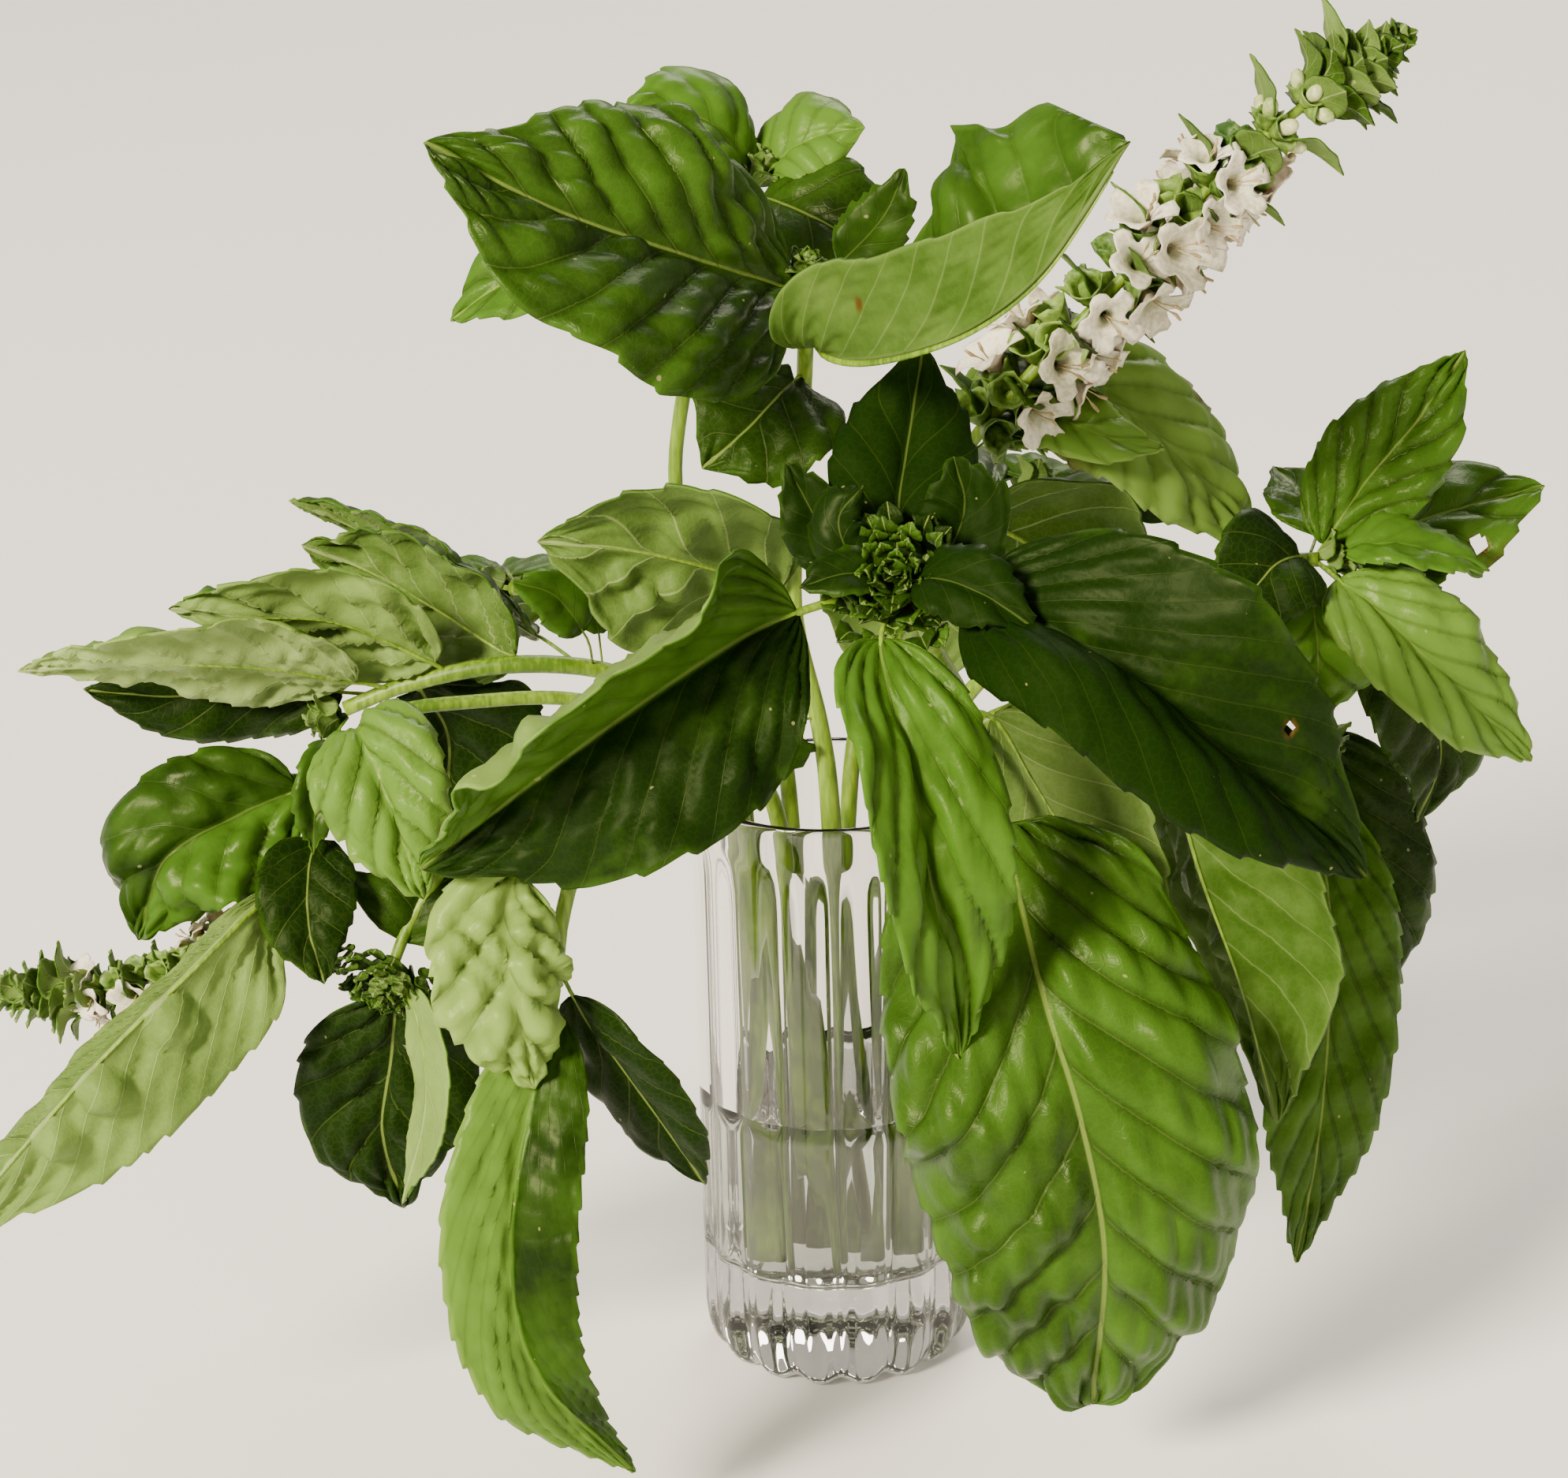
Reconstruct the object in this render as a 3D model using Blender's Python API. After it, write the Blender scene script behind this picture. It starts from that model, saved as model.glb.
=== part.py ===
"""Sweet basil cut for the kitchen: leafy tops and two flower spikes in a glass of water.

The fluted glass stands on the ground plane with its axis on +Z. The stems stand on its
floor, fan out over its rim and carry opposite pairs of leaves. Each leafy stem, with its
leaves and flowers fused to it, is one solid. Lengths in this file are in millimetres and
become metres when a mesh is made. -Y is the front, where the widest leaves hang.
"""

import math

import bmesh
import bpy
import numpy as np

MM = 0.001
GAP = 0.3

# The glass
GLASS_RADIUS = 31.0
GLASS_HEIGHT = 136.0
GLASS_FLOOR = 24.0
FOOT_RADIUS = 25.0
BORE_RADIUS = 27.6
RIM_BORE_RADIUS = 28.5
RIB_COUNT = 16
RIB_DEPTH = 1.2
RIB_STEPS = 4
RIB_TOP = 127.0

# The water
WATER_LEVEL = 63.5
WATER_SIDES = 24

# The stems, where they stand in the glass
STEM_SIDES = 6
STEM_STEP = 17.0
OUTER_FOOT = 13.5
INNER_FOOT = 6.5
RIM_REACH = 23.2
SPIRAL = 26.0
MID_GLASS = 80.0
FOOT_LIFT = 1.0

# The leaves
BLADE = 0.8
STALK = 2.5
RIB_KEEL = 0.7
TOOTH = 0.055
TOOTH_LEAN = 0.18
LOBE = 1.4
OPENING = 2.2
FRAME_STEPS = 60

# The flowers
CALYX_LENGTH = 8.0
CALYX_RADIUS = 3.0
CALYX_ROOT = 0.6
COROLLA_REACH = 13.0
COROLLA_RADIUS = 6.2
COROLLA_NOTCH = 0.35
FLOWER_SIDES = 5
MOUTH_SINK = 0.75
BRACT_LENGTH = 13.5
BRACT_WIDTH = 8.5
BRACT_TWIST = 0.37
FLOWERS_A_WHORL = 4
SPIKE_STEP = 13.0


def unit(vector):
    """The vector at length one."""
    vector = np.asarray(vector, float)
    return vector / np.linalg.norm(vector)


def smooth_path(points, count):
    """count + 1 points, evenly spaced by length, on a smooth curve through the points."""
    points = [np.asarray(p, float) for p in points]
    before = 2 * points[0] - points[1]
    after = 2 * points[-1] - points[-2]
    knots = [before, *points, after]
    dense = []
    for i in range(len(points) - 1):
        a, b, c, d = knots[i:i + 4]
        for step in range(24):
            t = step / 24
            dense.append(0.5 * (2 * b + (c - a) * t + (2 * a - 5 * b + 4 * c - d) * t * t
                                + (3 * b - a - 3 * c + d) * t ** 3))
    dense.append(points[-1])
    dense = np.array(dense)
    lengths = np.concatenate([[0], np.cumsum(np.linalg.norm(np.diff(dense, axis=0), axis=1))])
    marks = np.linspace(0, lengths[-1], count + 1)
    return np.stack([np.interp(marks, lengths, dense[:, k]) for k in range(3)], axis=1)


def frames_along(path, up, settle=0.35):
    """Tangents and normals along a path; the normals start from up and never spin."""
    tangents = np.gradient(path, axis=0)
    tangents /= np.linalg.norm(tangents, axis=1)[:, None]
    normals = np.zeros_like(path)
    start = int(settle * (len(path) - 1))
    up = np.asarray(up, float)
    normals[start] = unit(up - tangents[start] * (up @ tangents[start]))
    for i in range(start + 1, len(path)):
        carried = normals[i - 1]
        normals[i] = unit(carried - tangents[i] * (carried @ tangents[i]))
    for i in range(start - 1, -1, -1):
        carried = normals[i + 1]
        normals[i] = unit(carried - tangents[i] * (carried @ tangents[i]))
    return tangents, normals


def both_sides(value):
    """A value for the left and the right half of a blade."""
    return value if isinstance(value, tuple) else (value, value)


def across(distance, fold, curl):
    """Sideways and upward reach of a half blade that folds at the midrib and then curls."""
    fold, curl = math.radians(fold), math.radians(curl)
    if abs(curl) < 1e-4:
        return math.cos(fold) * distance, math.sin(fold) * distance, fold
    end = fold + curl * distance
    side = (math.sin(end) - math.sin(fold)) / curl
    rise = (math.cos(fold) - math.cos(end)) / curl
    return side, rise, end


def lobe_share(along, broadest, fullness):
    """A blade's width at a share of its length, against its greatest width."""
    rise, fall = LOBE * broadest / fullness, LOBE * (1 - broadest) / fullness
    return (along / broadest) ** rise * ((1 - along) / (1 - broadest)) ** fall


def leaf_shape(midrib, width, faces, fold=12, curl=-14, wave=0.05, stalk=8, broadest=0.4,
               fullness=1.0):
    """Points and faces of one leaf on its stalk, as a closed sheet.

    width, fold, curl and broadest are one value, or one for the left and one for the right
    half. fold is the angle in degrees that a half is raised from flat, curl the further turn
    from midrib to margin, wave the height of the margin's waves against the half width,
    broadest the share of the blade's length where it is widest, fullness how blunt its ends
    are.
    """
    path = smooth_path(midrib, FRAME_STEPS)
    length = float(np.linalg.norm(np.diff(path, axis=0), axis=1).sum())
    tangents, normals = frames_along(path, faces)
    blade = length - stalk
    width, fold = both_sides(width), both_sides(fold)
    curl, broadest = both_sides(curl), both_sides(broadest)
    columns = 6 if max(width) >= 60 else 4 if max(width) >= 18 else 2
    rows = max(4, min(9, round(blade / 11)))

    def place(mark):
        """The midrib's point and its sideways and upward directions at a length along it."""
        spot = min(1.0, mark / length) * FRAME_STEPS
        i = min(int(spot), FRAME_STEPS - 1)
        mix = spot - i
        tangent = unit(tangents[i] * (1 - mix) + tangents[i + 1] * mix)
        normal = unit(normals[i] * (1 - mix) + normals[i + 1] * mix)
        return path[i] * (1 - mix) + path[i + 1] * mix, np.cross(tangent, normal), normal

    top, bottom = [], []
    for mark in (0.0, stalk):
        centre, sideways, normal = place(mark)
        left, right = centre - sideways * STALK / 2, centre + sideways * STALK / 2
        top.append([left, centre + normal * STALK / 2, right])
        bottom.append([None, centre - normal * (STALK / 2 + RIB_KEEL * 0.3), None])
    for row in range(1, rows):
        along = row / rows
        upper, lower = [], []
        for column in range(columns + 1):
            u = 2 * column / columns - 1
            side = 0 if u < 0 else 1
            tooth = (1 if row % 2 else -1) if abs(u) > 0.99 else 0
            centre, sideways, normal = place(stalk + blade * (along + TOOTH_LEAN * tooth / rows))
            lobe = lobe_share(along, broadest[side], fullness)
            half = STALK / 2 * (1 - along) + width[side] / 2 * lobe
            reach = half * (1 + tooth * TOOTH)
            opened = min(1.0, OPENING * lobe, 1.6 * OPENING * along)
            out, up, angle = across(abs(u), fold[side] * opened, curl[side] * opened)
            up += wave * lobe * u * u * math.sin(5 * math.pi * along + 2.1 * side)
            point = centre + sideways * math.copysign(out, u) * reach + normal * up * half
            lean = math.copysign(angle, u) if u else 0.0
            facing = normal * math.cos(lean) - sideways * math.sin(lean)
            keel = RIB_KEEL * (1 - along) if u == 0 else 0.0
            upper.append(point + facing * BLADE / 2)
            lower.append(point - facing * (BLADE / 2 + keel))
        top.append(upper)
        bottom.append(lower)
    return close_leaf(top, bottom, path[-1])


def close_leaf(top, bottom, tip):
    """Close a leaf's rows of upper and lower points, split alike on both faces.

    The first two rows are the stalk, four-sided: its upper and lower points share its edges.
    """
    points, upper, lower = [], [], []
    for row in top:
        upper.append([len(points) + i for i in range(len(row))])
        points.extend(row)
    for number, row in enumerate(bottom):
        if row[0] is None:
            lower.append([upper[number][0], len(points), upper[number][2]])
            points.append(row[1])
        else:
            lower.append([len(points) + i for i in range(len(row))])
            points.extend(row)
    points.append(tip)
    upper.append([len(points) - 1])
    lower.append([len(points) - 1])
    faces = [(upper[0][0], lower[0][1], upper[0][1]), (upper[0][1], lower[0][1], upper[0][2])]
    for number in range(len(upper) - 1):
        faces.extend(strip(upper[number], upper[number + 1], number))
        faces.extend(tuple(reversed(f)) for f in strip(lower[number], lower[number + 1], number))
        for side in (0, -1):
            corners = (upper[number][side], upper[number + 1][side],
                       lower[number + 1][side], lower[number][side])
            corners = tuple(dict.fromkeys(corners if side == 0 else reversed(corners)))
            if len(corners) == 4:
                faces.extend(((corners[0], corners[1], corners[2]),
                              (corners[0], corners[2], corners[3])))
            elif len(corners) == 3:
                faces.append(corners)
    return points, faces


def strip(near, far, turn):
    """Triangles between two rows of points that may differ in number."""
    faces = []
    i = j = 0
    while i < len(near) - 1 or j < len(far) - 1:
        ahead_near = (i + 1) / (len(near) - 1) if i < len(near) - 1 else 2.0
        ahead_far = (j + 1) / (len(far) - 1) if j < len(far) - 1 else 2.0
        even = abs(ahead_near - ahead_far) < 1e-6
        if (even and (i + turn) % 2) or (not even and ahead_near < ahead_far):
            faces.append((near[i], near[i + 1], far[j]))
            i += 1
        else:
            faces.append((near[i], far[j + 1], far[j]))
            j += 1
    return faces


def tube_shape(path, radii, sides):
    """Points and faces of a closed tube along a path."""
    tangents, normals = frames_along(np.asarray(path), (0.31, 0.9, 0.1), settle=0)
    points, faces = [], []
    for place, tangent, normal, radius in zip(path, tangents, normals, radii):
        sideways = np.cross(tangent, normal)
        for side in range(sides):
            angle = 2 * math.pi * side / sides
            points.append(place + radius * (math.cos(angle) * normal + math.sin(angle) * sideways))
    for ring in range(len(path) - 1):
        for side in range(sides):
            a = ring * sides + side
            b = ring * sides + (side + 1) % sides
            faces.append((a, a + sides, b + sides))
            faces.append((a, b + sides, b))
    last = (len(path) - 1) * sides
    for side in range(1, sides - 1):
        faces.append((0, side, side + 1))
        faces.append((last, last + side + 1, last + side))
    return points, faces


def make_mesh(name, points, faces):
    """A mesh in metres whose faces point outwards."""
    mesh = bpy.data.meshes.new(name)
    mesh.from_pydata([tuple(float(c) * MM for c in p) for p in points], [], faces)
    bm = bmesh.new()
    bm.from_mesh(mesh)
    bmesh.ops.recalc_face_normals(bm, faces=bm.faces)
    if bm.calc_volume(signed=True) < 0:
        bmesh.ops.reverse_faces(bm, faces=bm.faces)
    bm.to_mesh(mesh)
    bm.free()
    return mesh


def make_object(name, mesh, material=None):
    """An object that shows the mesh where it lies."""
    if material:
        mesh.materials.append(material)
    item = bpy.data.objects.new(name, mesh)
    bpy.context.scene.collection.objects.link(item)
    return item


def make_material(name, colour, roughness, alpha=1.0):
    """A material with one colour."""
    material = bpy.data.materials.new(name)
    material.use_nodes = True
    shader = material.node_tree.nodes["Principled BSDF"]
    shader.inputs["Base Color"].default_value = (*colour, 1)
    shader.inputs["Roughness"].default_value = roughness
    shader.inputs["Metallic"].default_value = 0.0
    shader.inputs["Alpha"].default_value = alpha
    return material


def keep_largest_body(mesh):
    """Drop loose scraps and sealed hollows, which a union can leave."""
    bm = bmesh.new()
    bm.from_mesh(mesh)
    bm.verts.ensure_lookup_table()
    unseen = set(bm.verts)
    bodies = []
    while unseen:
        body, edge = set(), [unseen.pop()]
        while edge:
            vert = edge.pop()
            body.add(vert)
            for link in vert.link_edges:
                other = link.other_vert(vert)
                if other in unseen:
                    unseen.discard(other)
                    edge.append(other)
        bodies.append(body)
    largest = max(bodies, key=len)
    scraps = [vert for body in bodies if body is not largest for vert in body]
    bmesh.ops.delete(bm, geom=scraps, context="VERTS")
    bm.to_mesh(mesh)
    bm.free()


def fuse(name, shapes, material):
    """One solid out of the shapes, which all run into the first."""
    stem = make_object(name, make_mesh(name, *shapes[0]), material)
    grown = bpy.data.collections.new(name + "_parts")
    bpy.context.scene.collection.children.link(grown)
    for number, shape in enumerate(shapes[1:]):
        part = bpy.data.objects.new(f"{name}_{number}", make_mesh(name, *shape))
        grown.objects.link(part)
    union = stem.modifiers.new("union", "BOOLEAN")
    union.operation = "UNION"
    union.operand_type = "COLLECTION"
    union.collection = grown
    union.solver = "EXACT"
    depsgraph = bpy.context.evaluated_depsgraph_get()
    fused = bpy.data.meshes.new_from_object(stem.evaluated_get(depsgraph))
    stem.modifiers.clear()
    stem.data = fused
    for part in list(grown.objects):
        bpy.data.objects.remove(part)
    bpy.data.collections.remove(grown)
    keep_largest_body(fused)
    fused.materials.clear()
    fused.materials.append(material)
    return stem


def on_circle(radius, degrees, height):
    """A point at a clock angle round the glass, counted from +X towards +Y."""
    angle = math.radians(degrees)
    return (radius * math.cos(angle), radius * math.sin(angle), height)


def stem_route(clock, outer, above):
    """A stem's path from the glass floor, leaning round the axis, and on above the rim."""
    foot_reach = OUTER_FOOT if outer else INNER_FOOT
    foot = np.array(on_circle(foot_reach, clock + SPIRAL, GLASS_FLOOR + FOOT_LIFT))
    rim = np.array(on_circle(RIM_REACH, clock, GLASS_HEIGHT))
    share = (MID_GLASS - foot[2]) / (rim[2] - foot[2])
    return [tuple(foot), tuple(foot + (rim - foot) * share), tuple(rim), *above]


def stem_path(route):
    """Evenly spaced points along a stem."""
    rough = np.array(route)
    length = float(np.linalg.norm(np.diff(rough, axis=0), axis=1).sum())
    return smooth_path(route, round(length / STEM_STEP))


def taper(path, thick, thin):
    """Radii along a stem that thins towards its top."""
    return np.linspace(thick, thin, len(path))


def glass_ring(radius, height, rib):
    """A ring of points; rib is how much of the ribs' depth shows there."""
    ring = []
    for step in range(RIB_COUNT * RIB_STEPS):
        phase = step / RIB_STEPS
        dip = RIB_DEPTH * rib * abs(math.sin(math.pi * (phase + 0.5))) ** 3
        angle = 2 * math.pi * phase / RIB_COUNT
        ring.append(((radius - dip) * math.cos(angle), (radius - dip) * math.sin(angle), height))
    return ring


def glass_tumbler(material):
    """A heavy-based highball glass, ribbed outside and smooth inside."""
    profile = (
        (FOOT_RADIUS, 0.0, 0.5),
        (FOOT_RADIUS + 2.6, 1.3, 0.8),
        (GLASS_RADIUS - 1.3, 5.0, 1.0),
        (GLASS_RADIUS, 13.0, 1.0),
        (GLASS_RADIUS, RIB_TOP, 1.0),
        (GLASS_RADIUS - 0.4, RIB_TOP + 4.5, 0.0),
        (GLASS_RADIUS - 0.6, GLASS_HEIGHT - 0.8, 0.0),
        (GLASS_RADIUS - 1.3, GLASS_HEIGHT, 0.0),
        (RIM_BORE_RADIUS + 0.1, GLASS_HEIGHT - 0.5, 0.0),
        (RIM_BORE_RADIUS, RIB_TOP, 0.0),
        (BORE_RADIUS, GLASS_FLOOR + 4.0, 0.0),
        (BORE_RADIUS - 1.6, GLASS_FLOOR + 1.0, 0.0),
        (BORE_RADIUS - 4.6, GLASS_FLOOR, 0.0),
    )
    points, faces = [], []
    sides = RIB_COUNT * RIB_STEPS
    for radius, height, rib in profile:
        points.extend(glass_ring(radius, height, rib))
    for ring in range(len(profile) - 1):
        for side in range(sides):
            a = ring * sides + side
            b = ring * sides + (side + 1) % sides
            faces.append((a, b, b + sides, a + sides))
    faces.append(tuple(reversed(range(sides))))
    last = (len(profile) - 1) * sides
    faces.append(tuple(last + side for side in range(sides)))
    glass = make_object("glass_tumbler", make_mesh("glass_tumbler", points, faces), material)
    glass.data.shade_smooth()
    glass.data.set_sharp_from_angle(angle=math.radians(40))
    return glass


def water(material, stems):
    """The water, with a plain hole round each stem that stands in it."""
    profile = (
        (BORE_RADIUS - 5.2, GLASS_FLOOR + GAP),
        (BORE_RADIUS - 2.2, GLASS_FLOOR + 1.2),
        (BORE_RADIUS - 0.4, GLASS_FLOOR + 4.2),
        (BORE_RADIUS - 0.2, WATER_LEVEL),
    )
    points, faces = [], []
    for radius, height in profile:
        for side in range(WATER_SIDES):
            points.append(on_circle(radius, 360 * side / WATER_SIDES, height))
    for ring in range(len(profile) - 1):
        for side in range(WATER_SIDES):
            a = ring * WATER_SIDES + side
            b = ring * WATER_SIDES + (side + 1) % WATER_SIDES
            faces.append((a, b, b + WATER_SIDES, a + WATER_SIDES))
    faces.append(tuple(reversed(range(WATER_SIDES))))
    last = (len(profile) - 1) * WATER_SIDES
    faces.append(tuple(last + side for side in range(WATER_SIDES)))
    body = make_object("water", make_mesh("water", points, faces), material)
    holes = bpy.data.collections.new("water_holes")
    bpy.context.scene.collection.children.link(holes)
    for stem in stems:
        foot, above = (np.array(point) for point in stem["route"][:2])
        lower = foot - (above - foot) * 0.2
        radius = stem["thick"] + 1.2 * GAP
        shape = tube_shape([lower, above], [radius, radius], STEM_SIDES)
        hole = bpy.data.objects.new("hole", make_mesh("hole", *shape))
        hole.hide_render = True
        hole.display_type = "WIRE"
        holes.objects.link(hole)
    cut = body.modifiers.new("holes", "BOOLEAN")
    cut.operation = "DIFFERENCE"
    cut.operand_type = "COLLECTION"
    cut.collection = holes
    cut.solver = "EXACT"
    depsgraph = bpy.context.evaluated_depsgraph_get()
    drilled = bpy.data.meshes.new_from_object(body.evaluated_get(depsgraph))
    body.modifiers.clear()
    body.data = drilled
    for hole in list(holes.objects):
        bpy.data.objects.remove(hole)
    bpy.data.collections.remove(holes)
    drilled.materials.clear()
    drilled.materials.append(material)
    return body


def flower_shape(root, direction, spin, size, open_flower):
    """A calyx as a small closed bell, with the lobed corolla standing out of it once open."""
    direction = unit(direction)
    aside = unit(np.cross(direction, (0.37, 0.21, 0.9)))
    up = np.cross(direction, aside)
    rings = [(CALYX_LENGTH * size, CALYX_RADIUS * size, 0.0)]
    if open_flower:
        rings.append((COROLLA_REACH, COROLLA_RADIUS, COROLLA_NOTCH))
    points = [root]
    for height, radius, notch in rings:
        for side in range(FLOWER_SIDES):
            angle = 2 * math.pi * side / FLOWER_SIDES + spin
            reach = radius * (1 - notch if side % 2 else 1)
            points.append(root + direction * height
                          + reach * (math.cos(angle) * aside + math.sin(angle) * up))
    points.append(root + direction * rings[-1][0] * MOUTH_SINK)
    mouth = len(points) - 1
    last = mouth - FLOWER_SIDES
    faces = []
    for side in range(FLOWER_SIDES):
        after = (side + 1) % FLOWER_SIDES
        faces.append((0, 1 + side, 1 + after))
        faces.append((last + side, mouth, last + after))
        if open_flower:
            faces.append((1 + side, last + side, last + after))
            faces.append((1 + side, last + after, 1 + after))
    return points, faces


def bract_shape(base, direction, up, length, width):
    """A small pointed bract, cupped along its middle."""
    direction = unit(direction)
    up = unit(up - direction * (unit(up) @ direction))
    aside = np.cross(direction, up)
    base = np.asarray(base, float)
    middle = base + direction * length * 0.45
    outline = (base, middle + aside * width / 2 + up * width * 0.18,
               base + direction * length, middle - aside * width / 2 + up * width * 0.18)
    top = [point + up * BLADE / 2 for point in outline]
    bottom = [point - up * BLADE / 2 for point in outline]
    faces = [(0, 1, 2), (0, 2, 3), (6, 5, 4), (7, 6, 4)]
    for a in range(4):
        b = (a + 1) % 4
        faces.append((b, a, a + 4))
        faces.append((b, a + 4, b + 4))
    return [*top, *bottom], faces


def whorl_shapes(place, tangent, normal, turn, lean, size, young, blooms):
    """One ring of calyces round a flower axis, with its two bracts and any open corollas.

    size is the bracts' scale, young the calyces', which stay small near the axis's tip.
    """
    aside = np.cross(tangent, normal)
    shapes = []
    for flower in range(FLOWERS_A_WHORL):
        angle = 2 * math.pi * (flower + turn / 2) / FLOWERS_A_WHORL
        out = math.cos(angle) * normal + math.sin(angle) * aside
        direction = unit(out + tangent * lean)
        shapes.append(flower_shape(place + out * CALYX_ROOT * young, direction, angle, young,
                                   blooms and (flower + turn) % 3 > 0))
    for side in (0, 1):
        angle = math.pi * (side + turn / 2) + BRACT_TWIST
        out = math.cos(angle) * normal + math.sin(angle) * aside
        shapes.append(bract_shape(place + out * CALYX_ROOT * size, out + tangent * lean, tangent,
                                  BRACT_LENGTH * size, BRACT_WIDTH * size))
    return shapes


def spike_shapes(axis, open_to, size=1.0):
    """A flower spike's whorls along its axis, open up to a share of it, and its leafy tip."""
    path = smooth_path(axis, FRAME_STEPS)
    length = float(np.linalg.norm(np.diff(path, axis=0), axis=1).sum())
    tangents, normals = frames_along(path, (0, 0.2, 1), settle=0)
    whorls = max(2, round(length / (SPIKE_STEP * size)))
    shapes = []
    for whorl in range(whorls):
        share = (whorl + 0.4) / whorls
        index = int(share * FRAME_STEPS)
        young = size * (1 - 0.5 * max(0.0, share - 0.45) / 0.55)
        lean = 0.35 + 0.9 * max(0.0, share - 0.3)
        shapes.extend(whorl_shapes(path[index], tangents[index], normals[index], whorl % 2, lean,
                                   size, young, share <= open_to))
    aside = np.cross(tangents[-1], normals[-1])
    for bract in range(3):
        angle = 2 * math.pi / 3 * bract + 0.4
        out = math.cos(angle) * normals[-1] + math.sin(angle) * aside
        shapes.append(bract_shape(path[-1] - tangents[-1] * 2 * size, out * 0.5 + tangents[-1],
                                  -out, BRACT_LENGTH * size * 0.7, BRACT_WIDTH * size * 0.7))
    return shapes


def leaf(midrib, width, faces, **form):
    """A leaf as its midrib's points, its full width, the way its upper side looks and its form."""
    return {"midrib": midrib, "width": width, "faces": faces, **form}


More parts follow.
